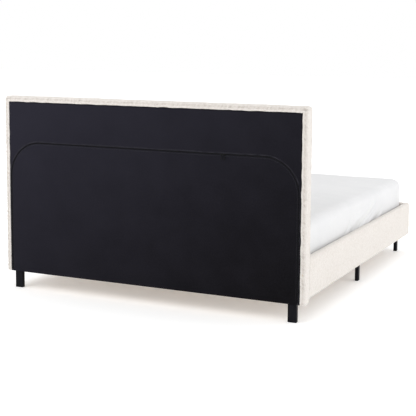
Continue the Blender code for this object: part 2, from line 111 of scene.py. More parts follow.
class Recipe:
    """One material's node tree, with short calls for the nodes that the finishes share."""

    def __init__(self, name: str) -> None:
        """Starts a material that reads the object's own coordinates.

        Args:
            name: the material's name.
        """
        self.material = bpy.data.materials.new(name)
        self.material.use_nodes = True
        self.tree = self.material.node_tree
        self.tree.nodes.clear()
        self.shader = self.put("ShaderNodeBsdfPrincipled")
        output = self.put("ShaderNodeOutputMaterial")
        self.join(self.shader.outputs[0], output.inputs["Surface"])
        self.place = self.put("ShaderNodeTexCoord").outputs["Object"]

    def put(self, kind: str, **settings: object) -> bpy.types.Node:
        """Adds a node.

        Args:
            kind: the node's type.
            settings: properties to set on it.

        Returns:
            The new node.
        """
        node = self.tree.nodes.new(kind)
        for key, value in settings.items():
            setattr(node, key, value)
        return node

    def join(self, start: Socket, end: Socket) -> None:
        """Links two sockets."""
        self.tree.links.new(start, end)

    def feed(self, socket: Socket, value: object) -> None:
        """Gives a socket a link or a plain value, whichever value is."""
        if isinstance(value, Socket):
            self.join(value, socket)
        elif isinstance(value, tuple) and socket.type == "RGBA":
            socket.default_value = (*value, 1.0)
        else:
            socket.default_value = value

    def stretched(self, scale: Point) -> Socket:
        """The object's coordinates scaled along its axes, for grain and weave."""
        mapping = self.put("ShaderNodeMapping")
        self.join(self.place, mapping.inputs["Vector"])
        mapping.inputs["Scale"].default_value = scale
        return mapping.outputs[0]

    def noise(self, scale: float, detail: float = 3.0, rough: float = 0.55,
              vector: Socket | None = None, warp: float = 0.0) -> Socket:
        """Adds a noise pattern.

        Args:
            scale: features in a metre.
            detail: octaves.
            rough: strength of the finer octaves.
            vector: coordinates, the object's own unless given.
            warp: distortion.

        Returns:
            The pattern, from 0 to 1.
        """
        node = self.put("ShaderNodeTexNoise")
        self.join(vector or self.place, node.inputs["Vector"])
        settings = {"Scale": scale, "Detail": detail, "Roughness": rough, "Distortion": warp}
        for key, value in settings.items():
            node.inputs[key].default_value = value
        return node.outputs["Fac"]

    def cells(self, scale: float, randomness: float = 1.0,
              vector: Socket | None = None) -> Socket:
        """Adds a pattern of cells, as the distance from each cell's middle.

        Args:
            scale: cells in a metre.
            randomness: 0 for a square grid, 1 for scattered cells.
            vector: coordinates, the object's own unless given.

        Returns:
            The distance pattern.
        """
        node = self.put("ShaderNodeTexVoronoi")
        self.join(vector or self.place, node.inputs["Vector"])
        node.inputs["Scale"].default_value = scale
        node.inputs["Randomness"].default_value = randomness
        return node.outputs["Distance"]

    def bands(self, scale: float, axis: str, warp: float = 0.0,
              vector: Socket | None = None) -> Socket:
        """Adds parallel bands.

        Args:
            scale: Blender's wave scale.
            axis: X, Y, Z or DIAGONAL, the direction across the bands.
            warp: distortion.
            vector: coordinates, the object's own unless given.

        Returns:
            The bands, from 0 to 1.
        """
        node = self.put("ShaderNodeTexWave", wave_type="BANDS", bands_direction=axis)
        self.join(vector or self.place, node.inputs["Vector"])
        node.inputs["Scale"].default_value = scale
        node.inputs["Distortion"].default_value = warp
        return node.outputs["Fac"]

    def reckon(self, operation: str, first: object, second: object = 0.0) -> Socket:
        """Works out a sum, product or other operation of two values."""
        node = self.put("ShaderNodeMath", operation=operation)
        self.feed(node.inputs[0], first)
        self.feed(node.inputs[1], second)
        return node.outputs[0]

    def along(self, direction: Point, low: float, high: float) -> Socket:
        """How far along a direction a place is, from 0 at low to 1 at high."""
        dot = self.put("ShaderNodeVectorMath", operation="DOT_PRODUCT")
        self.join(self.place, dot.inputs[0])
        dot.inputs[1].default_value = direction
        return self.spread(dot.outputs["Value"], low, high)

    def spread(self, value: Socket, low: float, high: float,
               to_low: float = 0.0, to_high: float = 1.0) -> Socket:
        """Stretches a pattern's range, clamped to the new one."""
        node = self.put("ShaderNodeMapRange")
        for socket, item in zip(node.inputs, (value, low, high, to_low, to_high)):
            self.feed(socket, item)
        return node.outputs[0]

    def blend(self, share: object, first: object, second: object,
              mode: str = "MIX") -> Socket:
        """Mixes two colours.

        Args:
            share: how much of the second, a number or a pattern.
            first: a colour or a link.
            second: a colour or a link.
            mode: the mix's blend type.

        Returns:
            The mixed colour.
        """
        node = self.put("ShaderNodeMix", data_type="RGBA", blend_type=mode)
        colours = [socket for socket in node.inputs if socket.type == "RGBA"]
        self.feed(node.inputs[0], share)
        self.feed(colours[0], first)
        self.feed(colours[1], second)
        return next(socket for socket in node.outputs if socket.type == "RGBA")

    def attribute(self, name: str) -> Socket:
        """Reads a number that the piece's points carry."""
        return self.put("ShaderNodeAttribute", attribute_name=name).outputs["Fac"]

    def relief(self, height: Socket, depth: float, strength: float = 1.0,
               under: Socket | None = None) -> Socket:
        """Adds a bump.

        Args:
            height: the pattern.
            depth: its height in metres.
            strength: how far it shows.
            under: a bump that this one lies on.

        Returns:
            The normal.
        """
        node = self.put("ShaderNodeBump")
        node.inputs["Strength"].default_value = strength
        node.inputs["Distance"].default_value = depth
        self.join(height, node.inputs["Height"])
        if under:
            self.join(under, node.inputs["Normal"])
        return node.outputs["Normal"]

    def finish(self, colour: object, normal: Socket | None = None,
               roughness: object = 0.8, **uniform: float) -> Material:
        """Wires the shader.

        Args:
            colour: base colour, plain or a link.
            normal: the bump, if any.
            roughness: a number or a pattern.
            uniform: numbers for other sockets, the same all over, with _ for a space.

        Returns:
            The finished material.
        """
        self.feed(self.shader.inputs["Base Color"], colour)
        self.feed(self.shader.inputs["Roughness"], roughness)
        if normal:
            self.join(normal, self.shader.inputs["Normal"])
        for key, value in uniform.items():
            self.shader.inputs[key.replace("_", " ")].default_value = value
        return self.material


@dataclass(frozen=True)
class Boucle:
    """Looped cream cloth: curled loops with painted shade in the gaps between them, and more
    painted shade where it is gathered.
    """

    name: str = "cream_boucle"
    loop: Colour = (0.86, 0.825, 0.79)
    gap: Colour = (0.68, 0.63, 0.58)
    # painted shade for the gathered back margin, mixed in as far as a number on the piece's points
    # asks
    gathered: Colour = (0.53, 0.475, 0.43)
    loops_per_metre: float = 300.0
    clumps_per_metre: float = 85.0

    def make(self) -> Material:
        """Builds the material."""
        recipe = Recipe(self.name)
        warp = recipe.noise(self.loops_per_metre * 0.6, 2.0)
        shifted = recipe.put("ShaderNodeVectorMath", operation="MULTIPLY_ADD")
        recipe.join(warp, shifted.inputs[0])
        shifted.inputs[1].default_value = (0.006, 0.006, 0.006)
        recipe.join(recipe.place, shifted.inputs[2])
        loops = recipe.cells(self.loops_per_metre, vector=shifted.outputs[0])
        curls = recipe.cells(self.loops_per_metre * 2.3, vector=shifted.outputs[0])
        clumps = recipe.noise(self.clumps_per_metre, 3.0, 0.6)
        hairs = recipe.noise(1900.0, 2.0)
        broad = recipe.noise(7.0, 2.0)
        depth = recipe.reckon("ADD", recipe.reckon("MULTIPLY", loops, -1.0),
                              recipe.reckon("MULTIPLY", curls, -0.45))
        shade = recipe.spread(depth, -0.95, -0.25, 0.62, 0.0)
        shade = recipe.reckon("ADD", shade, recipe.spread(clumps, 0.42, 0.70, 0.0, 0.42))
        shade = recipe.reckon("ADD", shade, recipe.spread(broad, 0.35, 0.75, 0.0, 0.06))
        colour = recipe.blend(recipe.spread(shade, 0.0, 1.0), self.loop, self.gap)
        # painted shade: darker where the piece's points mark the gathers as shaded
        colour = recipe.blend(recipe.attribute("crease"), colour, self.gathered)
        normal = recipe.relief(clumps, 0.0016, 0.6)
        normal = recipe.relief(depth, 0.0022, 0.8, normal)
        normal = recipe.relief(hairs, 0.0004, 0.5, normal)
        return recipe.finish(colour, normal, 0.93, Sheen_Weight=0.25, Sheen_Roughness=0.6,
                             Specular_IOR_Level=0.2)


@dataclass(frozen=True)
class BackCloth:
    """Thin black cloth: a fine dotted weave with faint patches where it is pulled or rubbed, a
    painted sheen that lightens it towards +X and the top, a painted highlight on its folded hems
    and a painted shadow along its outer edge.
    """

    name: str = "black_back_cloth"
    thread: Colour = (0.0040, 0.0037, 0.0044)
    # painted sheen: the lighter, bluer colour that the cloth takes towards +X and the top
    dusty: Colour = (0.0182, 0.0175, 0.0258)
    worn: Colour = (0.030, 0.0285, 0.036)
    # painted highlight for the folded hems' crests, where the edge number is set
    edge: Colour = (0.027, 0.026, 0.033)
    # painted shadow that the rolled boucle edge casts on the cloth's outer edge
    tucked: Colour = (0.0020, 0.0020, 0.0022)
    dots_per_metre: float = 640.0

    def make(self) -> Material:
        """Builds the material."""
        recipe = Recipe(self.name)
        dots = recipe.cells(self.dots_per_metre, 0.35)
        fibres = recipe.noise(2600.0, 2.0)
        specks = recipe.noise(125.0, 3.0, 0.65)
        patches = recipe.noise(4.5, 3.0, 0.6)
        # Painted sheen: a gradient towards +X and the top, made a little uneven by the broad
        # patches.
        sheen_share = recipe.reckon("ADD", recipe.along((0.55, 0.0, 0.84), -0.35, 1.35),
                             recipe.spread(patches, 0.30, 0.70, -0.05, 0.05))
        worn = recipe.reckon("ADD", recipe.spread(specks, 0.35, 0.75, 0.0, 0.16),
                             recipe.spread(patches, 0.35, 0.70, -0.02, 0.03))
        colour = recipe.blend(recipe.spread(sheen_share, 0.0, 1.0), self.thread, self.dusty)
        colour = recipe.blend(recipe.spread(worn, 0.0, 1.0), colour, self.worn)
        # Painted highlight on the folded hems' crests.
        colour = recipe.blend(recipe.attribute("edge"), colour, self.edge)
        # Painted shadow of the rolled boucle edge along the cloth's outer edge.
        colour = recipe.blend(recipe.attribute("tuck"), colour, self.tucked)
        normal = recipe.relief(patches, 0.004, 0.25)
        normal = recipe.relief(dots, 0.0006, 0.6, normal)
        normal = recipe.relief(fibres, 0.0003, 0.5, normal)
        return recipe.finish(colour, normal, 0.85, Specular_IOR_Level=0.04)


@dataclass(frozen=True)
class Woven:
    """A woven band or thread: warp and weft ribs, for zip tape, stitches, webbing and piping."""

    name: str
    light: Colour
    dark: Colour
    ribs_per_metre: float = 900.0
    roughness: float = 0.75
    relief: float = 0.0004

    def make(self) -> Material:
        """Builds the material."""
        recipe = Recipe(self.name)
        scale = self.ribs_per_metre / 6.283
        across = recipe.bands(scale, "X", 0.4)
        along = recipe.bands(scale, "Z", 0.4)
        beside = recipe.bands(scale, "Y", 0.4)
        weave = recipe.reckon("MULTIPLY", across, recipe.reckon("MAXIMUM", along, beside))
        fuzz = recipe.noise(1400.0, 3.0)
        share = recipe.reckon("ADD", recipe.reckon("MULTIPLY", weave, 0.6),
                              recipe.spread(fuzz, 0.3, 0.7, 0.0, 0.4))
        colour = recipe.blend(share, self.dark, self.light)
        normal = recipe.relief(weave, self.relief, 0.8)
        normal = recipe.relief(fuzz, self.relief * 0.5, 0.5, normal)
        return recipe.finish(colour, normal, self.roughness, Sheen_Weight=0.1)


@dataclass(frozen=True)
class Timber:
    """Planed wood with rings, pores and now and then a knot, bare or under paint."""

    name: str
    grain: Grain
    pale: Colour = (0.74, 0.56, 0.36)
    dark: Colour = (0.53, 0.35, 0.19)
    knot: Colour = (0.24, 0.12, 0.06)
    roughness: float = 0.62
    ring_relief: float = 0.0006
    shine: float = 0.4

    def make(self) -> Material:
        """Builds the material."""
        recipe = Recipe(self.name)
        lengthwise = recipe.stretched(self.grain.value)
        rings = recipe.noise(38.0, 4.0, 0.55, lengthwise, 1.6)
        streaks = recipe.noise(260.0, 3.0, 0.6, lengthwise)
        pores = recipe.noise(1500.0, 2.0, 0.5, lengthwise)
        stretch = tuple(max(x, 0.5) for x in self.grain.value)
        knots = recipe.cells(3.4, 1.0, recipe.stretched(stretch))
        figure = recipe.reckon("PINGPONG", recipe.reckon("MULTIPLY", rings, 5.0), 0.5)
        share = recipe.reckon("ADD", recipe.reckon("MULTIPLY", figure, 1.2),
                              recipe.spread(streaks, 0.35, 0.7, 0.0, 0.35))
        colour = recipe.blend(recipe.spread(share, 0.0, 1.0), self.pale, self.dark)
        colour = recipe.blend(recipe.spread(knots, 0.035, 0.06, 0.85, 0.0), colour, self.knot)
        normal = recipe.relief(share, self.ring_relief, 0.5)
        normal = recipe.relief(pores, self.ring_relief * 0.5, 0.5, normal)
        roughness = recipe.spread(streaks, 0.3, 0.7, self.roughness - 0.08, self.roughness + 0.08)
        return recipe.finish(colour, normal, roughness, Specular_IOR_Level=self.shine)


@dataclass(frozen=True)
class Plywood:
    """Thin board whose plies show at its edges as light and dark lines."""

    name: str
    across: str
    plies_per_metre: float = 700.0
    pale: Colour = (0.70, 0.53, 0.35)
    dark: Colour = (0.42, 0.27, 0.15)

    def make(self) -> Material:
        """Builds the material."""
        recipe = Recipe(self.name)
        plies = recipe.bands(self.plies_per_metre / 6.283, self.across)
        figure = recipe.noise(24.0, 4.0, 0.6, recipe.stretched(Grain.ALONG_Z.value), 1.2)
        colour = recipe.blend(recipe.spread(plies, 0.6, 0.9), self.pale, self.dark)
        colour = recipe.blend(recipe.spread(figure, 0.35, 0.7, 0.0, 0.5), colour, self.dark)
        return recipe.finish(colour, recipe.relief(figure, 0.0005, 0.5), 0.7)


@dataclass(frozen=True)
class Coated:
    """Metal or moulded plastic: a nearly even colour with orange peel, scuffs and worn spots."""

    name: str
    colour: Colour
    worn: Colour
    metallic: float = 0.0
    roughness: float = 0.4
    peel: float = 0.00012
    shine: float = 0.5

    def make(self) -> Material:
        """Builds the material."""
        recipe = Recipe(self.name)
        scuffs = recipe.noise(90.0, 4.0, 0.7)
        fine = recipe.noise(1100.0, 2.0)
        colour = recipe.blend(recipe.spread(scuffs, 0.55, 0.75, 0.0, 0.7), self.colour, self.worn)
        roughness = recipe.spread(scuffs, 0.3, 0.7, self.roughness, self.roughness + 0.15)
        return recipe.finish(colour, recipe.relief(fine, self.peel, 0.6), roughness,
                             Metallic=self.metallic, Specular_IOR_Level=self.shine)


@dataclass(frozen=True)
class Foam:
    """Cut upholstery foam with open cells."""

    name: str = "pale_foam"
    skin: Colour = (0.80, 0.76, 0.62)
    pore: Colour = (0.50, 0.45, 0.33)

    def make(self) -> Material:
        """Builds the material."""
        recipe = Recipe(self.name)
        pores = recipe.cells(900.0)
        lumps = recipe.noise(160.0, 3.0)
        colour = recipe.blend(recipe.spread(pores, 0.25, 0.7, 0.0, 0.8), self.skin, self.pore)
        normal = recipe.relief(recipe.reckon("ADD", pores, lumps), 0.0008, 0.7)
        return recipe.finish(colour, normal, 0.95)


@dataclass(frozen=True)
class Cotton:
    """White woven cotton with slight shade between its threads."""

    name: str = "white_cotton"
    thread: Colour = (0.74, 0.74, 0.745)
    shade: Colour = (0.65, 0.655, 0.665)
    threads_per_metre: float = 2200.0
    rib_depth: float = 0.00018

    def make(self) -> Material:
        """Builds the material."""
        recipe = Recipe(self.name)
        scale = self.threads_per_metre / 6.283
        weave = recipe.reckon("ADD", recipe.bands(scale, "X", 0.6), recipe.bands(scale, "Y", 0.6))
        weave = recipe.reckon("ADD", weave, recipe.bands(scale, "Z", 0.6))
        slubs = recipe.noise(420.0, 3.0, 0.6)
        broad = recipe.noise(5.0, 3.0)
        share = recipe.reckon("ADD", recipe.spread(slubs, 0.35, 0.75, 0.0, 0.45),
                              recipe.spread(broad, 0.35, 0.7, 0.0, 0.35))
        colour = recipe.blend(share, self.thread, self.shade)
        normal = recipe.relief(broad, 0.004, 0.3)
        normal = recipe.relief(weave, self.rib_depth, 0.5, normal)
        normal = recipe.relief(slubs, self.rib_depth, 0.5, normal)
        return recipe.finish(colour, normal, 0.85, Sheen_Weight=0.15, Specular_IOR_Level=0.25)


@dataclass(frozen=True)
class Ticking:
    """Pale mattress cloth with woven grey stripes and grip dots."""

    name: str = "striped_ticking"
    ground: Colour = (0.74, 0.74, 0.73)
    stripe: Colour = (0.42, 0.45, 0.50)
    stripes_per_metre: float = 28.0
    dots_per_metre: float = 90.0

    def make(self) -> Material:
        """Builds the material."""
        recipe = Recipe(self.name)
        stripes = recipe.bands(self.stripes_per_metre / 6.283, "X")
        dots = recipe.cells(self.dots_per_metre, 0.0)
        weave = recipe.noise(1500.0, 2.0)
        colour = recipe.blend(recipe.spread(stripes, 0.86, 0.92), self.ground, self.stripe)
        colour = recipe.blend(recipe.spread(dots, 0.16, 0.20, 0.7, 0.0), colour, self.stripe)
        colour = recipe.blend(recipe.spread(weave, 0.3, 0.7, 0.0, 0.2), colour, self.stripe)
        normal = recipe.relief(recipe.spread(dots, 0.14, 0.22, 1.0, 0.0), 0.0006, 0.6)
        return recipe.finish(colour, recipe.relief(weave, 0.0004, 0.6, normal), 0.9)


@dataclass(frozen=True)
class Painted:
    """The studio floor: smooth pale paint, lit a little from within."""

    name: str = "pale_floor"
    colour: Colour = (0.965, 0.965, 0.965)
    glow: float = 0.22  # so that the shadow on it stays pale

    def make(self) -> Material:
        """Builds the material."""
        recipe = Recipe(self.name)
        grain = recipe.noise(60.0, 3.0)
        tone = recipe.spread(grain, 0.2, 0.8, 0.0, 0.02)
        return recipe.finish(recipe.blend(tone, self.colour, (0.9, 0.9, 0.9)), None, 0.9,
                             Specular_IOR_Level=0.1, Emission_Color=(1.0, 1.0, 1.0, 1.0),
                             Emission_Strength=self.glow)


@dataclass
class Finishes:
    """Every finish on the bed, made once."""

    boucle: Material = field(default_factory=lambda: Boucle().make())
    back_cloth: Material = field(default_factory=lambda: BackCloth().make())
    tape: Material = field(default_factory=lambda: Woven(
        "zip_tape", (0.022, 0.022, 0.026), (0.008, 0.008, 0.010), 1100.0).make())
    thread: Material = field(default_factory=lambda: Woven(
        "black_thread", (0.05, 0.05, 0.055), (0.015, 0.015, 0.018), 2400.0).make())
    coil: Material = field(default_factory=lambda: Coated(
        "black_nylon", (0.006, 0.006, 0.007), (0.012, 0.012, 0.014), roughness=0.4,
        shine=0.12).make())
    zip_metal: Material = field(default_factory=lambda: Coated(
        "dark_lacquered_metal", (0.003, 0.003, 0.003), (0.012, 0.012, 0.012), 0.0, 0.22,
        shine=0.12).make())
    steel: Material = field(default_factory=lambda: Coated(
        "black_powder_coat", (0.020, 0.020, 0.022), (0.05, 0.05, 0.05), 0.0, 0.45, 0.0003).make())
    zinc: Material = field(default_factory=lambda: Coated(
        "zinc_plated_steel", (0.55, 0.56, 0.58), (0.34, 0.34, 0.35), 1.0, 0.32).make())
    pine_x: Material = field(default_factory=lambda: Timber("pine_x", Grain.ALONG_X).make())
    pine_y: Material = field(default_factory=lambda: Timber("pine_y", Grain.ALONG_Y).make())
    pine_z: Material = field(default_factory=lambda: Timber("pine_z", Grain.ALONG_Z).make())
    black_wood: Material = field(default_factory=lambda: Timber(
        "black_lacquered_wood", Grain.ALONG_Z, (0.0085, 0.0085, 0.0115), (0.005, 0.005, 0.0065),
        (0.004, 0.004, 0.005), 0.5, 0.0002, 0.06).make())
    ply_x: Material = field(default_factory=lambda: Plywood("plywood_side", "X").make())
    ply_y: Material = field(default_factory=lambda: Plywood("plywood_panel", "Y").make())
    foam: Material = field(default_factory=lambda: Foam().make())
    webbing: Material = field(default_factory=lambda: Woven(
        "grey_webbing", (0.16, 0.16, 0.17), (0.05, 0.05, 0.055), 700.0, 0.7, 0.0006).make())
    piping: Material = field(default_factory=lambda: Woven(
        "grey_piping", (0.50, 0.52, 0.55), (0.30, 0.32, 0.35), 800.0).make())
    ticking: Material = field(default_factory=lambda: Ticking().make())
    cotton: Material = field(default_factory=lambda: Cotton().make())


def dress(nodes: Iterable[str], finish: Material) -> None:
    """Gives CAD nodes a finish through their own material slots.

    Args:
        nodes: the nodes' names.
        finish: the material.
    """
    for name in nodes:
        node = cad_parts[name]
        if node.material_slots:
            for material_slot in node.material_slots:
                material_slot.material = finish
        else:
            node.data.materials.append(finish)


# ---------------------------------------------------------------------------------------------
# Meshes
# ---------------------------------------------------------------------------------------------


def link(name: str, mesh: bpy.types.Mesh) -> Piece:
    """Puts a mesh in the scene as an object at the origin."""
    piece = bpy.data.objects.new(name, mesh)
    bpy.context.scene.collection.objects.link(piece)
    return piece


def surface(name: str, nets: Sequence[np.ndarray], weld: bool = True) -> Piece:
    """Joins grids of points into one smooth mesh.

    Args:
        name: the piece's name.
        nets: grids of shape (rows, columns, 3). A face looks along rows x columns.
        weld: joins points that coincide. Without it the points keep the grids' order.

    Returns:
        The piece.
    """
    points, faces, start = [], [], 0
    for net in nets:
        rows, columns = net.shape[:2]
        index = start + np.arange(rows * columns).reshape(rows, columns)
        quads = (index[:-1, :-1], index[1:, :-1], index[1:, 1:], index[:-1, 1:])
        faces.append(np.stack(quads, axis=-1).reshape(-1, 4))
        points.append(net.reshape(-1, 3))
        start += rows * columns
    mesh = bpy.data.meshes.new(name)
    mesh.from_pydata(np.concatenate(points).tolist(), [], np.concatenate(faces).tolist())
    if weld:
        kit = bmesh.new()
        kit.from_mesh(mesh)
        bmesh.ops.remove_doubles(kit, verts=kit.verts, dist=WELD)
        kit.to_mesh(mesh)
        kit.free()
    mesh.shade_smooth()
    return link(name, mesh)


def points_of(piece: Piece) -> np.ndarray:
    """The piece's points as an array of shape (count, 3)."""
    flat = np.empty(len(piece.data.vertices) * 3)
    piece.data.vertices.foreach_get("co", flat)
    return flat.reshape(-1, 3)


def normals_of(piece: Piece) -> np.ndarray:
    """The piece's point normals as an array of shape (count, 3)."""
    flat = np.empty(len(piece.data.vertices) * 3)
    piece.data.vertex_normals.foreach_get("vector", flat)
    return flat.reshape(-1, 3)


def place_points(piece: Piece, points: np.ndarray) -> None:
    """Moves the piece's points to new places."""
    piece.data.vertices.foreach_set("co", points.ravel())
    piece.data.update()


def swell(piece: Piece, amount: np.ndarray) -> None:
    """Moves each point along its normal by its own amount, in metres."""
    place_points(piece, points_of(piece) + normals_of(piece) * amount[:, None])


def mark(piece: Piece, name: str, values: np.ndarray) -> None:
    """Stores a number on each point, for the finish to read."""
    piece.data.attributes.new(name, "FLOAT", "POINT")
    piece.data.attributes[name].data.foreach_set("value", values.astype(np.float32))


def ripple(points: np.ndarray, wavelength: float, seed: int, waves: int = 16) -> np.ndarray:
    """Smooth unevenness of about unit size.

    Args:
        points: coordinates of shape (..., dimensions).
        wavelength: its rough length, in the points' unit.
        seed: picks the pattern.
        waves: how many waves are added.

    Returns:
        The value at each point.
    """
    rng = np.random.default_rng(seed)
    directions = rng.normal(size=(waves, points.shape[-1]))
    directions /= np.linalg.norm(directions, axis=1, keepdims=True)
    lengths = wavelength * rng.uniform(0.7, 1.6, waves)
    phases = rng.uniform(0.0, FULL_TURN, waves)
    turns = points @ (directions / lengths[:, None]).T * FULL_TURN + phases
    return np.cos(turns).sum(axis=-1) / math.sqrt(waves / 2)


def bell(distance: np.ndarray, width: float) -> np.ndarray:
    """A smooth bump of height 1 and the given half width."""
    return np.exp(-np.square(distance / width))


def rise(value: np.ndarray, low: float, high: float) -> np.ndarray:
    """A smooth step from 0 at low to 1 at high."""
    share = np.clip((value - low) / (high - low), 0.0, 1.0)
    return share * share * (3.0 - 2.0 * share)


def unit(vectors: np.ndarray) -> np.ndarray:
    """Scales each vector to length 1, and leaves a zero vector as it is."""
    return vectors / np.maximum(np.linalg.norm(vectors, axis=-1, keepdims=True), TINY)


def closed_up(piece: Piece, open_ends: bool = False) -> None:
    """Makes a mesh closed, with every face turned outwards.

    Args:
        piece: the piece.
        open_ends: fills its open ends. Otherwise faces with no size are taken out.
    """
    kit = bmesh.new()
    kit.from_mesh(piece.data)
    if open_ends:
        bmesh.ops.holes_fill(kit, edges=kit.edges)
    else:
        bmesh.ops.dissolve_degenerate(kit, dist=WELD, edges=kit.edges)
    bmesh.ops.recalc_face_normals(kit, faces=kit.faces)
    kit.to_mesh(piece.data)
    kit.free()


def stops(low: float, high: float, ease: float, pitch: float, steps: int = 3) -> np.ndarray:
    """Grid lines along one edge of a soft block, set close where its corners are rounded.

    Args:
        low: the edge's start.
        high: its end.
        ease: the rounding's radius.
        pitch: spacing between the roundings.
        steps: lines in each rounded half corner.

    Returns:
        The lines' places.
    """
    count = max(1, round((high - low - 2 * ease) / pitch))
    bends = ease * np.tan(np.linspace(0.0, math.pi / 4, steps + 1))[1:]
    middle = np.linspace(low + ease, high - ease, count + 1)
    return np.concatenate([low + ease - bends[::-1], middle, high - ease + bends])


def block_nets(lines: Sequence[np.ndarray],
               skip: Sequence[tuple[int, int]] = ()) -> list[np.ndarray]:
    """The six sides of a block as grids that look outwards.

    Args:
        lines: grid lines along X, Y and Z.
        skip: sides to leave out, as (axis, 0 or -1) for the low or the high side.

    Returns:
        One grid for each side.
    """
    nets = []
    for axis in range(3):
        first, second = (axis + 1) % 3, (axis + 2) % 3
        for end in (0, -1):
            if (axis, end) in skip:
                continue
            net = np.empty((len(lines[first]), len(lines[second]), 3))
            net[..., axis] = lines[axis][end]
            net[..., first] = lines[first][:, None]
            net[..., second] = lines[second][None, :]
            nets.append(net if end else net[:, ::-1])
    return nets


def eased(points: np.ndarray, low: np.ndarray, high: np.ndarray, radii: np.ndarray) -> np.ndarray:
    """Rounds a block's edges and corners.

    Args:
        points: points on the block's sides.
        low: its lowest corner.
        high: its highest corner.
        radii: the rounding along X, Y and Z.

    Returns:
        The rounded points.
    """
    core = np.clip(points, low + radii, high - radii)
    out = (points - core) / radii
    return core + radii * out / np.maximum(np.linalg.norm(out, axis=-1, keepdims=True), 1e-9)


def soft_block(name: str, low: Point, high: Point, radii: Point, pitch: Point) -> Piece:
    """A closed block with rounded edges, gridded finely enough to pad out.

    Args:
        name: the piece's name.
        low: its lowest corner.
        high: its highest corner.
        radii: the rounding along X, Y and Z.
        pitch: the grid's spacing along X, Y and Z.

    Returns:
        The block.
    """
    lines = [stops(*sizes) for sizes in zip(low, high, radii, pitch)]
    corners = np.array(low), np.array(high), np.array(radii)
    return surface(name, [eased(net, *corners) for net in block_nets(lines)])


def turned_under(points: np.ndarray, level: float, bend: float, inward: np.ndarray) -> np.ndarray:
    """Folds what hangs below a level round a bend and in underneath.

    Args:
        points: the cloth's points.
        level: the height of the folded cloth's lowest face.
        bend: the fold's radius.
        inward: for each point, the unit direction in which it folds.

    Returns:
        The folded points.
    """
    over = np.maximum(level + bend - points[..., 2:], 0.0)
    angle = np.minimum(over / bend, math.pi / 2)
    inwards = bend * (1.0 - np.cos(angle)) + np.maximum(over - bend * math.pi / 2, 0.0)
    folded = points + inward * inwards
    folded[..., 2:] = np.where(over > 0, level + bend - bend * np.sin(angle), points[..., 2:])
    return folded


def folded_block(sides: Sequence[np.ndarray], low: np.ndarray, high: np.ndarray,
                 radii: np.ndarray, fold: tuple[float, float]) -> list[np.ndarray]:
    """Rounds a block that is open below, and folds its sides in underneath.

    Args:
        sides: the block's sides as grids.
        low: its lowest corner.
        high: its highest corner.
        radii: the rounding along X, Y and Z.
        fold: the height of the folded cloth's lowest face, and the fold's radius.

    Returns:
        The sides in their new places.
    """
    core_low, core_high = low + radii, high - radii
    core_low[2] = low[2] - 1.0  # the bottom isn't rounded: it folds under
    nets = []
    for net in sides:
        core = np.clip(net, core_low, core_high)
        out = unit((net - core) / radii)
        inward = unit(-out * (1.0, 1.0, 0.0))
        nets.append(turned_under(core + radii * out, *fold, inward))
    return nets


def frozen(piece: Piece) -> Piece:
    """Turns a piece and its modifiers into one plain mesh."""
    graph = bpy.context.evaluated_depsgraph_get()
    mesh = bpy.data.meshes.new_from_object(piece.evaluated_get(graph), depsgraph=graph)
    mesh.name = piece.name
    piece.modifiers.clear()
    piece.data = mesh
    return piece


def refined(piece: Piece, levels: int = 1) -> Piece:
    """Subdivides a piece smoothly and keeps the result as its mesh."""
    modifier = piece.modifiers.new("Subdivision", "SUBSURF")
    modifier.levels = levels
    modifier.render_levels = levels
    return frozen(piece)


def inflate(piece: Piece, held: np.ndarray, pressure: float, cap: float,
            frames: int = 20) -> None:
    """Pads a cover out by cloth simulation and keeps the result as its mesh.

    Args:
        piece: the cover.
        held: for each point, whether it is stapled or sewn down.
        pressure: the padding's push.
        cap: the furthest that a point may move, in metres.
        frames: the simulation's length.
    """
    group = piece.vertex_groups.new(name="held")
    group.add(np.flatnonzero(held).tolist(), 1.0, "REPLACE")
    cloth = piece.modifiers.new("Cloth", "CLOTH")
    cloth.settings.mass = 0.3
    cloth.settings.use_pressure = True
    cloth.settings.uniform_pressure_force = pressure
    cloth.settings.vertex_group_mass = group.name
    cloth.settings.effector_weights.gravity = 0.0
    cloth.point_cache.frame_start = 1
    cloth.point_cache.frame_end = frames
    rest = points_of(piece)
    scene = bpy.context.scene
    for number in range(1, frames + 1):
        scene.frame_set(number)
    travel = points_of(piece.evaluated_get(bpy.context.evaluated_depsgraph_get())) - rest
    piece.modifiers.remove(cloth)
    piece.vertex_groups.remove(group)
    scene.frame_set(1)
    outward = normals_of(piece)
    # The filling holds the cover out, so nothing moves inwards.
    travel -= np.minimum((travel * outward).sum(1, keepdims=True), 0.0) * outward
    length = np.maximum(np.linalg.norm(travel, axis=1, keepdims=True), 1e-9)
    place_points(piece, rest + travel * cap * np.tanh(length / cap) / length)


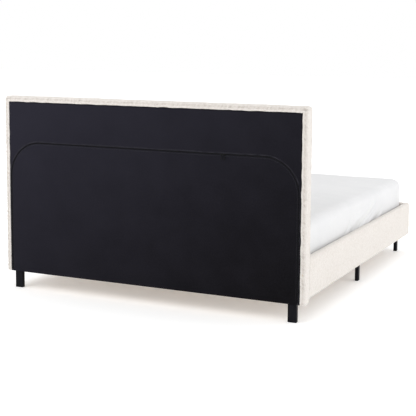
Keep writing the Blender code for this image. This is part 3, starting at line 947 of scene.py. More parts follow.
def prism(name: str, loops: Sequence[np.ndarray], front: float, back: float,
          bevel: float) -> Piece:
    """A plate that lies across Y, with an outline and perhaps a hole.

    Args:
        name: the piece's name.
        loops: the outline and, inside it, the hole, with as many points, as X and Z.
        front: the plate's lower Y.
        back: its higher Y.
        bevel: the width of its eased edges.

    Returns:
        The plate.
    """
    kit = bmesh.new()
    rings = []
    for outline in loops:
        for y in (front, back):
            rings.append([kit.verts.new((x, y, z)) for x, z in outline])
    count = len(rings[0])
    for step in range(count):
        after = (step + 1) % count
        for pair in ((0, 1), (3, 2)) if len(loops) == 2 else ((0, 1),):
            start, end = rings[pair[0]], rings[pair[1]]
            kit.faces.new((start[step], start[after], end[after], end[step]))
        if len(loops) == 2:
            kit.faces.new((rings[0][after], rings[0][step], rings[2][step], rings[2][after]))
            kit.faces.new((rings[1][step], rings[1][after], rings[3][after], rings[3][step]))
    if len(loops) == 1:
        kit.faces.new(rings[0])
        kit.faces.new(list(reversed(rings[1])))
    bmesh.ops.recalc_face_normals(kit, faces=kit.faces)
    mesh = bpy.data.meshes.new(name)
    kit.to_mesh(mesh)
    kit.free()
    piece = link(name, mesh)
    modifier = piece.modifiers.new("Bevel", "BEVEL")
    modifier.width = bevel
    modifier.segments = 2
    frozen(piece)
    piece.data.shade_smooth()
    piece.data.set_sharp_from_angle(angle=math.radians(40))
    return piece


def joined(name: str, pieces: Sequence[Piece]) -> Piece:
    """Joins pieces into one object that keeps their finishes."""
    kit = bmesh.new()
    finishes: list[Material] = []
    for piece in pieces:
        first = len(kit.faces)
        kit.from_mesh(piece.data)
        kit.faces.ensure_lookup_table()
        own = list(piece.data.materials)
        for material in own:
            if material and material not in finishes:
                finishes.append(material)
        for face in kit.faces[first:]:
            face.material_index = finishes.index(own[face.material_index])
    mesh = bpy.data.meshes.new(name)
    kit.to_mesh(mesh)
    kit.free()
    for material in finishes:
        mesh.materials.append(material)
    for piece in pieces:
        bpy.data.objects.remove(piece)
    return link(name, mesh)


# ---------------------------------------------------------------------------------------------
# Geometry Nodes for what repeats
# ---------------------------------------------------------------------------------------------


class Pattern:
    """A Geometry Nodes tree with named inputs that ends in plain meshes with a finish."""

    def __init__(self, name: str, sockets: dict[str, str]) -> None:
        """Starts the tree with its inputs.

        Args:
            name: the tree's name.
            sockets: each input's name and socket type.
        """
        self.tree = bpy.data.node_groups.new(name, "GeometryNodeTree")
        faces = self.tree.interface
        faces.new_socket("Geometry", in_out="INPUT", socket_type="NodeSocketGeometry")
        for label, kind in sockets.items():
            faces.new_socket(label, in_out="INPUT", socket_type=kind)
        faces.new_socket("Finish", in_out="INPUT", socket_type="NodeSocketMaterial")
        faces.new_socket("Geometry", in_out="OUTPUT", socket_type="NodeSocketGeometry")
        self.given = self.put("NodeGroupInput").outputs

    def put(self, kind: str, **settings: object) -> bpy.types.Node:
        """Adds a node and sets its properties."""
        node = self.tree.nodes.new(kind)
        for key, value in settings.items():
            setattr(node, key, value)
        return node

    def join(self, start: Socket, end: Socket) -> None:
        """Links two sockets."""
        self.tree.links.new(start, end)

    def copies(self, points: Socket, facing: Socket,
               along: Socket) -> Socket:
        """Sets a copy of the template on each point.

        Args:
            points: where the copies go.
            facing: each copy's own Z.
            along: each copy's own X.

        Returns:
            The copies.
        """
        turn = self.put("FunctionNodeAxesToRotation", primary_axis="Z", secondary_axis="X")
        self.join(facing, turn.inputs["Primary Axis"])
        self.join(along, turn.inputs["Secondary Axis"])
        source = self.put("GeometryNodeObjectInfo")
        self.join(self.given["Template"], source.inputs["Object"])
        uneven = self.put("FunctionNodeRandomValue", data_type="FLOAT_VECTOR")
        self.join(self.given["Least size"], uneven.inputs["Min"])
        self.join(self.given["Most size"], uneven.inputs["Max"])
        self.join(self.given["Seed"], uneven.inputs["Seed"])
        instances = self.put("GeometryNodeInstanceOnPoints")
        self.join(points, instances.inputs["Points"])
        self.join(source.outputs["Geometry"], instances.inputs["Instance"])
        self.join(turn.outputs[0], instances.inputs["Rotation"])
        self.join(uneven.outputs[0], instances.inputs["Scale"])
        return instances.outputs[0]

    def end(self, result: Socket) -> None:
        """Makes the result plain meshes, gives them the finish and sends them out."""
        real = self.put("GeometryNodeRealizeInstances")
        finished = self.put("GeometryNodeSetMaterial")
        out = self.put("NodeGroupOutput")
        self.join(result, real.inputs[0])
        self.join(real.outputs[0], finished.inputs["Geometry"])
        self.join(self.given["Finish"], finished.inputs["Material"])
        self.join(finished.outputs[0], out.inputs[0])

    def apply(self, piece: Piece, **values: object) -> Piece:
        """Runs the tree on a piece and keeps the result as its mesh.

        Args:
            piece: the path or points.
            values: the inputs, by name, with _ for a space.

        Returns:
            The piece.
        """
        modifier = piece.modifiers.new(self.tree.name, "NODES")
        modifier.node_group = self.tree
        identifiers = {item.name: item.identifier for item in self.tree.interface.items_tree
                       if item.in_out == "INPUT"}
        for key, value in values.items():
            modifier[identifiers[key.replace("_", " ")]] = value
        frozen(piece)
        if "Template" in values:
            bpy.data.objects.remove(values["Template"])
        return piece


COPY_SOCKETS = {"Template": "NodeSocketObject", "Least size": "NodeSocketVector",
                "Most size": "NodeSocketVector", "Seed": "NodeSocketInt"}


class PathCopies(Pattern):
    """Copies of a template at an even pitch along paths, such as zip teeth or stitches."""

    def __init__(self) -> None:
        """Builds the tree."""
        super().__init__("Copies along paths", {
            **COPY_SOCKETS, "Pitch": "NodeSocketFloat", "Facing": "NodeSocketVector"})
        curve = self.put("GeometryNodeMeshToCurve")
        even = self.put("GeometryNodeResampleCurve", mode="LENGTH")
        tangent = self.put("GeometryNodeInputTangent")
        self.join(self.given["Geometry"], curve.inputs["Mesh"])
        self.join(curve.outputs[0], even.inputs["Curve"])
        self.join(self.given["Pitch"], even.inputs["Length"])
        self.end(self.copies(even.outputs[0], self.given["Facing"], tangent.outputs[0]))


class PointCopies(Pattern):
    """Copies of a template on points that each carry a facing and an along direction."""

    def __init__(self) -> None:
        """Builds the tree."""
        super().__init__("Copies on points", dict(COPY_SOCKETS))
        read = {}
        for name in ("facing", "along"):
            node = self.put("GeometryNodeInputNamedAttribute", data_type="FLOAT_VECTOR")
            node.inputs["Name"].default_value = name
            read[name] = node.outputs["Attribute"]
        self.end(self.copies(self.given["Geometry"], read["facing"], read["along"]))


class PathTube(Pattern):
    """A round cord swept along paths, such as piping or a rolled edge."""

    def __init__(self) -> None:
        """Builds the tree."""
        super().__init__("Tube along paths", {
            "Radius": "NodeSocketFloat", "Pitch": "NodeSocketFloat", "Sides": "NodeSocketInt"})
        curve = self.put("GeometryNodeMeshToCurve")
        even = self.put("GeometryNodeResampleCurve", mode="LENGTH")
        ring = self.put("GeometryNodeCurvePrimitiveCircle")
        sweep = self.put("GeometryNodeCurveToMesh")
        smooth = self.put("GeometryNodeSetShadeSmooth")
        self.join(self.given["Geometry"], curve.inputs["Mesh"])
        self.join(curve.outputs[0], even.inputs["Curve"])
        self.join(self.given["Pitch"], even.inputs["Length"])
        self.join(self.given["Sides"], ring.inputs["Resolution"])
        self.join(self.given["Radius"], ring.inputs["Radius"])
        self.join(even.outputs[0], sweep.inputs["Curve"])
        self.join(ring.outputs[0], sweep.inputs["Profile Curve"])
        sweep.inputs["Fill Caps"].default_value = True
        self.join(sweep.outputs[0], smooth.inputs[0])
        self.end(smooth.outputs[0])


def paths(name: str, lines: Sequence[np.ndarray], closed: bool = False) -> Piece:
    """Lines of points as one mesh of edges, for a pattern to follow.

    Args:
        name: the piece's name.
        lines: each line's points.
        closed: joins each line's end to its start.

    Returns:
        The piece.
    """
    points, edges, start = [], [], 0
    for line in lines:
        index = np.arange(start, start + len(line))
        edges += np.stack([index[:-1], index[1:]], axis=1).tolist()
        if closed:
            edges.append([int(index[-1]), int(index[0])])
        points.append(line)
        start += len(line)
    mesh = bpy.data.meshes.new(name)
    mesh.from_pydata(np.concatenate(points).tolist(), edges, [])
    return link(name, mesh)


def spots(name: str, places: Sequence[Point], facing: Sequence[Point],
          along: Sequence[Point]) -> Piece:
    """Points that carry directions, for PointCopies."""
    mesh = bpy.data.meshes.new(name)
    mesh.from_pydata(list(places), [], [])
    for label, values in (("facing", facing), ("along", along)):
        mesh.attributes.new(label, "FLOAT_VECTOR", "POINT")
        flat = np.array(values, dtype=np.float32).ravel()
        mesh.attributes[label].data.foreach_set("vector", flat)
    return link(name, mesh)


def bar(name: str, sides: int, radius: float, length: float, flat: float = 1.0) -> Piece:
    """A small bar along X with domed ends, as a template for teeth, stitches and staples.

    Args:
        name: the template's name.
        sides: faces round it.
        radius: half its width.
        length: its whole length.
        flat: its height as a share of its width.

    Returns:
        The template.
    """
    turns = np.linspace(0.0, FULL_TURN, sides + 1)
    half, dome = length / 2, min(radius, length / 4)
    rows = [(-half, 0.0), (-half + dome * 0.3, 0.7), (-half + dome, 1.0), (half - dome, 1.0),
            (half - dome * 0.3, 0.7), (half, 0.0)]
    net = np.array([[(x, -radius * size * math.cos(turn), radius * flat * size * math.sin(turn))
                     for turn in turns] for x, size in rows])
    piece = surface(name, [net])
    closed_up(piece)
    return piece


def bolt_head(name: str, sides: int, radius: float, height: float, socket: float) -> Piece:
    """A bolt or screw head that faces +Z, with a recess in its top.

    Args:
        name: the template's name.
        sides: 6 for a hexagon, more for a round head.
        radius: half its width.
        height: how far it stands proud.
        socket: the recess's radius.

    Returns:
        The template.
    """
    rows = [(0.0, 0.0), (radius, 0.0), (radius, height * 0.75), (radius * 0.86, height),
            (socket, height), (socket * 0.9, height * 0.4), (0.0, height * 0.4)]
    turns = np.linspace(0.0, FULL_TURN, sides + 1)
    net = np.array([[(size * math.cos(turn), size * math.sin(turn), z) for turn in turns]
                    for size, z in rows])
    piece = surface(name, [net])
    closed_up(piece)
    piece.data.set_sharp_from_angle(angle=math.radians(35))
    return piece


@dataclass
class Patterns:
    """The trees that the sub-assemblies share."""

    along: PathCopies = field(default_factory=PathCopies)
    at: PointCopies = field(default_factory=PointCopies)
    tube: PathTube = field(default_factory=PathTube)


@dataclass(frozen=True)
class Copies:
    """How copies vary: their least and most size and the seed that picks between them."""

    least: float = 1.0
    most: float = 1.0
    seed: int = 0

    def values(self) -> dict[str, object]:
        """The pattern's inputs."""
        return {"Least_size": (self.least,) * 3, "Most_size": (self.most,) * 3, "Seed": self.seed}


def settle(piece: Piece, body: Body | str,
           finish: Material | None = None, stands_for: Sequence[str] = ()) -> None:
    """Gives a finished piece its body and finish, and hides the CAD nodes that it stands for.

    Args:
        piece: the piece.
        body: the frame's body that it rides on.
        finish: its material, unless it already has one.
        stands_for: CAD nodes that it replaces.
    """
    if finish:
        piece.data.materials.clear()
        piece.data.materials.append(finish)
    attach(piece, body.value if isinstance(body, Body) else body)
    if stands_for:
        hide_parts(*stands_for)
    log.info("%s: %d faces", piece.name, len(piece.data.polygons))


# ---------------------------------------------------------------------------------------------
# The bed's sub-assemblies
# ---------------------------------------------------------------------------------------------


@dataclass
class Headboard:
    """The upholstered headboard: a padded front and a boxing band turned round onto the back."""

    finishes: Finishes
    patterns: Patterns
    front_pitch: float = 0.016
    band_pitch: float = 0.003
    corner: float = 0.020  # top corners, seen from the front
    front_ease: float = 0.014
    back_ease: float = 0.010
    seam: float = 0.015  # from the front face back to the seam
    margin: float = 0.027  # boucle on the back, at the sides
    margin_top: float = 0.030
    roll: float = 0.009  # width of the rolled edge beside the back cloth
    roll_height: float = 0.0028
    tuck: float = 0.030  # cloth turned under the bottom rail
    puff: float = 0.005
    gather_pitch: float = 0.011
    gather_depth: float = 0.0013
    staple_pitch: float = 0.045

    def __post_init__(self) -> None:
        """Reads the cover's place from the frame."""
        self.low, self.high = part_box("headboard_cover")
        self.seam_y = self.low.y + self.seam

    def build(self) -> None:
        """Makes and dresses the headboard."""
        self.front()
        self.boxing()
        self.staples()
        dress(("headboard_top_rail", "headboard_bottom_rail"), self.finishes.pine_x)
        dress(("headboard_left_post", "headboard_right_post", "headboard_centre_post"),
              self.finishes.pine_z)
        dress(("headboard_panel",), self.finishes.ply_y)
        dress(("headboard_foam",), self.finishes.foam)
        dress(("headboard_leg_left", "headboard_leg_right"), self.finishes.black_wood)

    def front(self) -> None:
        """The padded front panel, from its seam with the boxing over the front edges."""
        low = np.array((self.low.x, self.low.y, self.low.z - self.tuck))
        high = np.array((self.high.x, self.high.y, self.high.z))
        radii = np.array((self.corner, self.front_ease, self.corner))
        lines = [stops(low[0], high[0], self.corner, self.front_pitch),
                 stops(low[1], high[1], self.front_ease, 0.005),
                 stops(low[2], high[2], self.corner, self.front_pitch)]
        lines[1] = np.append(lines[1][lines[1] < self.seam_y - 0.001], self.seam_y)
        sides = block_nets(lines, skip=((1, -1), (2, 0)))
        piece = surface("headboard_front",
                        folded_block(sides, low, high, radii, (self.low.z, 0.006)))
        points = points_of(piece)
        held = (points[:, 1] > self.seam_y - 0.0005) | (points[:, 2] < self.low.z + 0.002)
        inflate(piece, held, 4.0, self.puff)
        refined(piece)
        points = points_of(piece)
        loose = rise(points[:, 2], self.low.z + 0.002, self.low.z + 0.05)
        waves = 0.0006 * ripple(points, 0.22, 11) + 0.00035 * ripple(points, 0.035, 12)
        dip = -0.0022 * bell(points[:, 1] - self.seam_y, 0.003)
        swell(piece, waves * loose + dip)
        settle(piece, Body.FRAME, self.finishes.boucle, ["headboard_cover"])

    def outline(self, inset: float, shift: np.ndarray) -> tuple[np.ndarray, np.ndarray]:
        """The line up one side, over the top and down the other.

        Args:
            inset: how far it lies inside the headboard's outline.
            shift: extra inset for each point.

        Returns:
            The points as X and Z, and the outward direction at each.
        """
        share = self.margin_top / self.margin if inset > self.margin * 0.5 else 1.0
        half, top = self.high.x - self.corner, self.high.z - self.corner
        base = self.low.z - self.tuck
        straight = np.arange(base, top, self.band_pitch)
        across = np.linspace(-half, half, round(2 * half / self.band_pitch))[1:-1]
        turns = np.linspace(math.pi, math.pi / 2, 12)
        left = np.stack([np.full_like(straight, -half), straight], 1)
        bend = np.tile((-half, top), (len(turns), 1))
        upper = np.stack([across, np.full_like(across, top)], 1)
        out = np.concatenate([np.tile((-1.0, 0.0), (len(left), 1)),
                              np.stack([np.cos(turns), np.sin(turns)], 1),
                              np.tile((0.0, 1.0), (len(upper), 1))])
        core = np.concatenate([left, bend, upper])
        mirror = np.concatenate([bend[::-1], left[::-1]]) * (-1, 1)
        core = np.concatenate([core, mirror])
        out = np.concatenate([out, out[:len(left) + len(bend)][::-1] * (-1, 1)])
        reach = self.corner - inset * (1.0 + (share - 1.0) * np.abs(out[:, 1]))
        return core + out * (reach - shift)[:, None], out

    def boxing(self) -> None:
        """The band round the sides and top, gathered on the back under a rolled edge."""
        back, front = self.high.y, self.seam_y
        ease = self.back_ease
        bend = [(ease * (1 - math.sin(turn)), back - ease * (1 - math.cos(turn)))
                for turn in np.linspace(0.0, math.pi / 2, 5)]
        flat = self.margin - self.roll
        rows = [(self.margin + 0.026, back - 0.0040), (self.margin + 0.008, back - 0.0035),
                (self.margin + 0.003, back - 0.002)]
        rows += [(self.margin - self.roll * (0.5 - 0.5 * math.cos(turn)),
                  back - 0.0008 + self.roll_height * math.sin(turn))
                 for turn in np.linspace(0.15, math.pi - 0.15, 7)]
        rows += [(inset, back - 0.0006) for inset in np.linspace(flat - 0.0012, bend[0][0], 7)[:-1]]
        rows += bend
        rows += [(0.0, y) for y in np.linspace(bend[-1][1], front, 15)[1:-1]] + [(0.0, front)]
        profile = np.array(rows)
        slope = np.gradient(profile, axis=0)
        facing = np.stack([-slope[:, 1], -slope[:, 0]], 1)  # outwards, then backwards
        facing /= np.linalg.norm(facing, axis=1, keepdims=True)
        steps = len(self.outline(0.0, np.zeros(1))[0])
        run = np.arange(steps) * self.band_pitch
        wander = 0.0009 * ripple(run[:, None], 0.11, 21)
        net, crease = [], []
        for (inset, y), (outward, backward) in zip(profile, facing):
            on_back = rise(np.array(y), back - 0.012, back - 0.004)
            path = np.stack([run - 1.1 * inset, np.full_like(run, inset * 0.35)], 1)
            folds = ripple(path, self.gather_pitch, 22) * 0.75 + ripple(path, 0.031, 23) * 0.5
            strength = on_back * rise(np.array(self.margin + 0.004 - inset), 0.0, 0.006)
            shaded = strength * rise(np.array(inset), 0.004, 0.012)
            depth = self.gather_depth * folds * strength * (0.4 if inset > flat else 1.0)
            depth += (1 - on_back) * (0.0005 * ripple(path, 0.16, 24) + 0.0008 * math.sin(
                math.pi * min(max((back - y) / (back - front), 0.0), 1.0)))
            line, out = self.outline(inset, wander * rise(np.array(inset), 0.008, flat))
            lift = depth - 0.0022 * bell(np.array(y - front), 0.003)
            row = np.stack([line[:, 0], np.full(steps, y), line[:, 1]], 1)
            row[:, [0, 2]] += out * (outward * lift)[:, None]
            row[:, 1] += backward * lift
            inward = np.stack([-out[:, 0] * max(outward, 0.0), np.full(steps, -backward),
                               np.zeros(steps)], 1)
            net.append(turned_under(row, self.low.z + 0.001, 0.004, unit(inward)))
            # Painted shade on the gathered back margin: the flat part is darkened as if in shade,
            # more in the valleys between gathers, and the rolled edge only a little.
            valley = np.clip(0.25 - 0.55 * folds, 0.0, 1.0)
            tone = 0.0 if inset > flat else 0.24
            crease.append(shaded * np.clip(tone + valley * (0.15 if inset > flat else 0.45), 0, 1))
        piece = surface("headboard_boxing", [np.array(net)], weld=False)
        mark(piece, "crease", np.concatenate(crease))
        settle(piece, Body.FRAME, self.finishes.boucle, ["headboard_cover"])

    def staples(self) -> None:
        """Staples through the cloth that is turned under the bottom rail."""
        line = np.linspace(self.low.x + 0.03, self.high.x - 0.03, 12)
        row = np.stack([line, np.full_like(line, self.low.y + self.tuck * 0.7),
                        np.full_like(line, self.low.z - 0.0003)], 1)
        piece = self.patterns.along.apply(
            paths("headboard_staples", [row]), Template=bar("staple", 6, 0.0006, 0.011),
            Pitch=self.staple_pitch, Facing=DOWNWARD, Finish=self.finishes.zinc,
            **Copies(0.95, 1.05, 31).values())
        settle(piece, Body.FRAME)


@dataclass(frozen=True)
class ZipLine:
    """The zip's line: up one side, round a corner, across the top and down again."""

    half_width: float
    top: float
    bottom: float
    radius: float = 0.200

    def path(self, offset: float, pitch: float, bottom: float | None = None) -> np.ndarray:
        """Points along the line, from low on the left to low on the right.

        Args:
            offset: how far outside the zip's middle it runs.
            pitch: spacing of the points.
            bottom: where it starts, the zip's own bottom unless given.

        Returns:
            The points as X and Z.
        """
        half, radius = self.half_width - self.radius, self.radius + offset
        bend = self.top - self.radius
        start = self.bottom if bottom is None else bottom
        rise_z = np.linspace(start, bend, max(2, round((bend - start) / pitch)))[:-1]
        turns = np.linspace(math.pi, math.pi / 2, max(6, round(radius * math.pi / 2 / pitch)))
        across = np.linspace(-half, half, round(2 * half / pitch))[1:-1]
        left = np.concatenate([
            np.stack([np.full_like(rise_z, -half - radius), rise_z], 1),
            np.stack([radius * np.cos(turns) - half, bend + radius * np.sin(turns)], 1)])
        middle = np.stack([across, np.full_like(across, bend + radius)], 1)
        return np.concatenate([left, middle, left[::-1] * (-1, 1)])

    def outside(self, x: np.ndarray, z: np.ndarray) -> np.ndarray:
        """Distance outside the line, negative inside it."""
        beyond_x = np.abs(x) - (self.half_width - self.radius)
        beyond_z = z - (self.top - self.radius)
        corner = np.hypot(np.maximum(beyond_x, 0.0), np.maximum(beyond_z, 0.0))
        return np.where((beyond_x > 0) & (beyond_z > 0), corner,
                        np.maximum(beyond_x, beyond_z)) - self.radius

    def height(self, x: np.ndarray, offset: float) -> np.ndarray:
        """The line's height over each X, for a line offset outwards."""
        radius = self.radius + offset
        beyond = np.clip(np.abs(x) - (self.half_width - self.radius), 0.0, radius)
        return self.top - self.radius + np.sqrt(radius * radius - beyond * beyond)


@dataclass
class BackCover:
    """The black back: a fixed border, an arched flap, and the zip between them."""

    finishes: Finishes
    patterns: Patterns
    cloth_gap: float = 0.0030  # from the zip's middle to each cloth's folded edge
    hem_at: float = 0.0062  # the folded edge's crest, from the zip's middle
    hem_width: float = 0.0030
    border_hem: float = 0.0024
    flap_hem: float = 0.0012
    tape_depth: float = 0.0010
    tooth_pitch: float = 0.0020
    tooth_length: float = 0.0032
    tooth_radius: float = 0.00085
    stitch_at: float = 0.0105
    stitch_pitch: float = 0.0042
    pitch: float = 0.008
    pulled_at: tuple[float, ...] = (0.846, 0.878, 0.902)  # over the legs, from the middle

    def __post_init__(self) -> None:
        """Reads the zip's line from the frame."""
        low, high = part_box("zip_coil_flap")
        coil_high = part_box("zip_coil_border")[1]
        self.zip = ZipLine((high.x + coil_high.x) / 2, (high.z + coil_high.z) / 2, low.z)
        self.border_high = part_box("back_cover_border")[1]
        self.border_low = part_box("back_cover_border")[0]
        self.face = self.border_high.y - 0.0002
        self.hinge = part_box("back_cover_flap")[0].z

    def build(self) -> None:
        """Makes the border, the flap and the zip."""
        self.border()
        self.flap()
        self.zip_half(Body.FRAME, 1, "zip_half_border", "zip_coil_border")
        self.zip_half(Body.FLAP, -1, "zip_half_flap", "zip_coil_flap")
        self.stitches(Body.FRAME, 1)
        self.stitches(Body.FLAP, -1)

    def drawn(self, x: np.ndarray, z: np.ndarray, seed: int) -> np.ndarray:
        """How far the stretched cloth stands off flat: slow waves, sag and pulls over the legs."""
        flat = np.stack([x, z], -1)
        waves = (0.0005 * ripple(flat, 0.34, seed)
                 + 0.00022 * ripple(flat * (1, 2.4), 0.16, seed + 1))
        reach = bell(z - self.border_low.z, 0.20)
        pulls = sum(bell(np.abs(x) - leg, 0.006) for leg in self.pulled_at)
        creases = 0.00025 * ripple(flat * (0.25, 3.0), 0.09, seed + 2) * rise(x, -0.2, 0.7)
        return waves + 0.0006 * pulls * reach + creases * bell(z - 0.30, 0.20)

    def hem(self, outside: np.ndarray) -> tuple[np.ndarray, np.ndarray]:
        """The folded edges beside the zip.

        Args:
            outside: distance outside the zip's middle.

        Returns:
            Their height, and how much painted highlight their crest gets.
        """
        crest = np.where(outside > 0, self.border_hem, self.flap_hem)
        bump = bell(np.abs(outside) - self.hem_at, self.hem_width)
        edge = -0.0012 * bell(np.abs(outside) - self.cloth_gap, 0.0012)
        return crest * bump + edge, bump * np.where(outside > 0, 1.0, 0.12)

    def border(self) -> None:
        """The fixed cloth between the zip and the boucle edge."""
        zip_line, hem_edge = self.zip, self.border_low.z - 0.012
        inner = zip_line.path(self.cloth_gap, 0.005, hem_edge)
        run = np.arange(len(inner)) * 0.005
        reach_x = self.border_high.x + 0.0035
        reach_z = self.border_high.z + 0.0035
        beyond_x = np.abs(inner[:, 0]) - (zip_line.half_width - zip_line.radius)
        beyond_z = inner[:, 1] - (zip_line.top - zip_line.radius)
        turn = np.arctan2(np.maximum(beyond_z, 0.0), np.maximum(beyond_x, 1e-9))
        steep = turn > math.pi / 4
        on_side = zip_line.top - zip_line.radius + np.minimum(turn, math.pi / 4) * 4 / math.pi * (
            reach_z - zip_line.top + zip_line.radius)
        side_z = np.where(beyond_z > 0, on_side, inner[:, 1])
        back_half = zip_line.half_width - zip_line.radius
        top_x = np.where(beyond_x > 0, back_half + (math.pi / 2 - turn) * 4 / math.pi * (
            reach_x - back_half), np.abs(inner[:, 0]))
        in_top = (beyond_z > 0) & (steep | (beyond_x <= 0))
        outer = np.stack([np.where(in_top, top_x, reach_x) * np.sign(inner[:, 0] + 1e-12),
                          np.where(in_top, reach_z, side_z)], 1)
        span = np.linalg.norm(outer - inner, axis=1)
        near = np.array((0.0, 0.0012, 0.0024, 0.0036, 0.0050, 0.0066, 0.0085, 0.0105))
        far = np.linspace(0.0, 1.0, 32)[1:]
        rows = []
        for offset in near:
            rows.append(np.minimum(offset, span * offset / 0.013))
        start = rows[-1]
        rows += [start + (span - start) * share for share in far]
        net = np.empty((len(rows), len(inner), 3))
        for number, distance in enumerate(rows):
            flat = inner + (outer - inner) * (distance / span)[:, None]
            net[number, :, 0], net[number, :, 2] = flat[:, 0], flat[:, 1]
        net = net[::-1]  # so that the cloth faces backwards
        x, z = net[..., 0], net[..., 2]
        height, worn = self.hem(zip_line.outside(x, z))
        to_edge = np.minimum(self.border_high.x - np.abs(x), self.border_high.z - z)
        sunk = -0.0022 * (1 - rise(to_edge, -0.002, 0.007)) + 0.0008 * bell(to_edge - 0.011, 0.003)
        net[..., 1] = self.face + height + sunk + self.drawn(x, z, 41) * rise(to_edge, 0.0, 0.05)
        inward = np.broadcast_to(np.array((0.0, -1.0, 0.0)), net.shape)
        net = turned_under(net, self.border_low.z + 0.0006, 0.0025, inward)
        piece = surface("back_border_cloth", [net], weld=False)
        # Painted highlight along the border's hem crest, uneven along its length.
        patchy = 0.75 + 0.25 * ripple(np.tile(run, len(rows))[:, None], 0.05, 43)
        mark(piece, "edge", np.clip(worn.ravel() * patchy, 0.0, 1.0))
        # Painted shadow of the rolled boucle edge, strongest where the cloth dips under it.
        mark(piece, "tuck", 0.9 * (1 - rise(to_edge.ravel(), 0.001, 0.008)))
        settle(piece, Body.FRAME, self.finishes.back_cloth, ["back_cover_border"])

    def flap(self) -> None:
        """The arched flap, with the hem below it."""
        zip_line, pitch = self.zip, self.pitch
        half = zip_line.half_width - self.cloth_gap
        straight = zip_line.half_width - zip_line.radius
        radius = half - straight
        middle = np.linspace(-straight, straight, round(2 * straight / pitch) + 1)
        turns = np.linspace(0.0, math.pi / 2, round(radius * math.pi / 2 / pitch))[1:]
        bend = straight + radius * np.sin(turns)
        close = half - np.array((0.0085, 0.0068, 0.0052, 0.0038, 0.0025, 0.0012))
        side = np.unique(np.round(np.concatenate([bend, close]), 5))
        columns = np.concatenate([-side[::-1], middle, side])
        top = zip_line.height(columns, -self.cloth_gap)
        near = np.array((0.0, 0.0012, 0.0024, 0.0036, 0.0050, 0.0066, 0.0085, 0.0110))
        below = np.array((-0.022, -0.017, -0.0135, -0.0120, -0.0105, -0.0085, -0.0060, -0.0030,
                          0.0, 0.0025, 0.005, 0.009))
        body = np.linspace(0.0, 1.0, 84)[1:-1]
        rows = [np.full_like(columns, self.hinge + offset) for offset in below]
        first, last = rows[-1], top - near[-1]
        rows += [first + (last - first) * share for share in body]
        rows += [top - offset for offset in near[::-1]]
        net = np.empty((len(rows), len(columns), 3))
        net[..., 0] = columns
        net[..., 2] = np.array(rows)
        x, z = net[..., 0], net[..., 2]
        outside = zip_line.outside(x, z)
        height, worn = self.hem(outside)
        fixed = rise(-outside, 0.0, 0.06) * rise(z, self.hinge, self.hinge + 0.03)
        net[..., 1] = self.face + height + self.drawn(x, z, 51) * fixed
        net = net.transpose(1, 0, 2)[::-1]  # so that the cloth faces backwards
        worn = worn.T[::-1]
        inward = np.broadcast_to(np.array((0.0, -1.0, 0.0)), net.shape)
        net = turned_under(net, self.border_low.z + 0.0006, 0.0025, inward)
        piece = surface("back_flap_cloth", [net], weld=False)
        # A faint painted highlight on the flap's hem crest.
        mark(piece, "edge", worn.ravel())
        piece.data.materials.append(self.finishes.back_cloth)
        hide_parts("back_cover_flap")
        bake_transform(piece)
        log.info("%s: %d faces", piece.name, len(piece.data.polygons))

    def zip_half(self, body: Body, way: int, name: str, node: str) -> None:
        """One side of the zip: its woven tape and its row of teeth.

        Args:
            body: the body that it moves with.
            way: 1 outside the zip's middle, -1 inside it.
            name: the piece's name.
            node: the CAD node that it replaces.
        """
        step = 0.005
        tape_rows = []
        profile = [(0.0006, 0.0), (0.0020, 0.0), (0.0040, 0.0002), (0.0075, 0.0006)]
        bottom = self.zip.bottom
        if way > 0:  # the border's tape backs the slit down to the hem
            profile = [(-0.0040, 0.0013), (-0.0012, 0.0010)] + profile
            bottom = self.border_low.z + 0.0008
        for offset, depth in profile:
            line = self.zip.path(way * offset, step, bottom)
            tape_rows.append(np.stack([line[:, 0], np.full(len(line), self.face - self.tape_depth
                                                            - depth), line[:, 1]], 1))
        fewest = min(len(row) for row in tape_rows)
        tape_rows = [row[np.linspace(0, len(row) - 1, fewest).round().astype(int)]
                     for row in tape_rows]
        tape = surface(name + "_tape", [np.array(tape_rows[::-way])], weld=False)
        tape.data.materials.append(self.finishes.tape)
        line = self.zip.path(way * self.tooth_length * 0.42, step)
        route = np.stack([line[:, 0], np.full(len(line), self.face + 0.0003), line[:, 1]], 1)
        if way < 0:
            route[0, 2] += self.tooth_pitch / 2
        tooth = bar("tooth", 6, self.tooth_radius, self.tooth_length, 1.2)
        tooth.data.transform(Matrix.Rotation(math.pi / 2, 4, "Z"))
        teeth = self.patterns.along.apply(
            paths(name + "_teeth", [route]), Template=tooth, Pitch=self.tooth_pitch,
            Facing=BACKWARD, Finish=self.finishes.coil, **Copies().values())
        settle(joined(name, [tape, teeth]), body, None, [node])

    def stitches(self, body: Body, way: int) -> None:
        """The row of stitches that holds a folded edge down on the zip's tape."""
        line = self.zip.path(way * self.stitch_at, 0.005, self.zip.bottom + 0.01)
        height = 0.0003 + self.hem(np.full(1, way * self.stitch_at))[0][0]
        route = np.stack([line[:, 0], np.full(len(line), self.face + height), line[:, 1]], 1)
        stitch = bar("stitch", 5, 0.00035, self.stitch_pitch * 0.72)
        piece = self.patterns.along.apply(
            paths("zip_stitches_border" if way > 0 else "zip_stitches_flap", [route]),
            Template=stitch, Pitch=self.stitch_pitch, Facing=BACKWARD,
            Finish=self.finishes.thread, **Copies(0.92, 1.06, 61 + way).values())
        settle(piece, body)


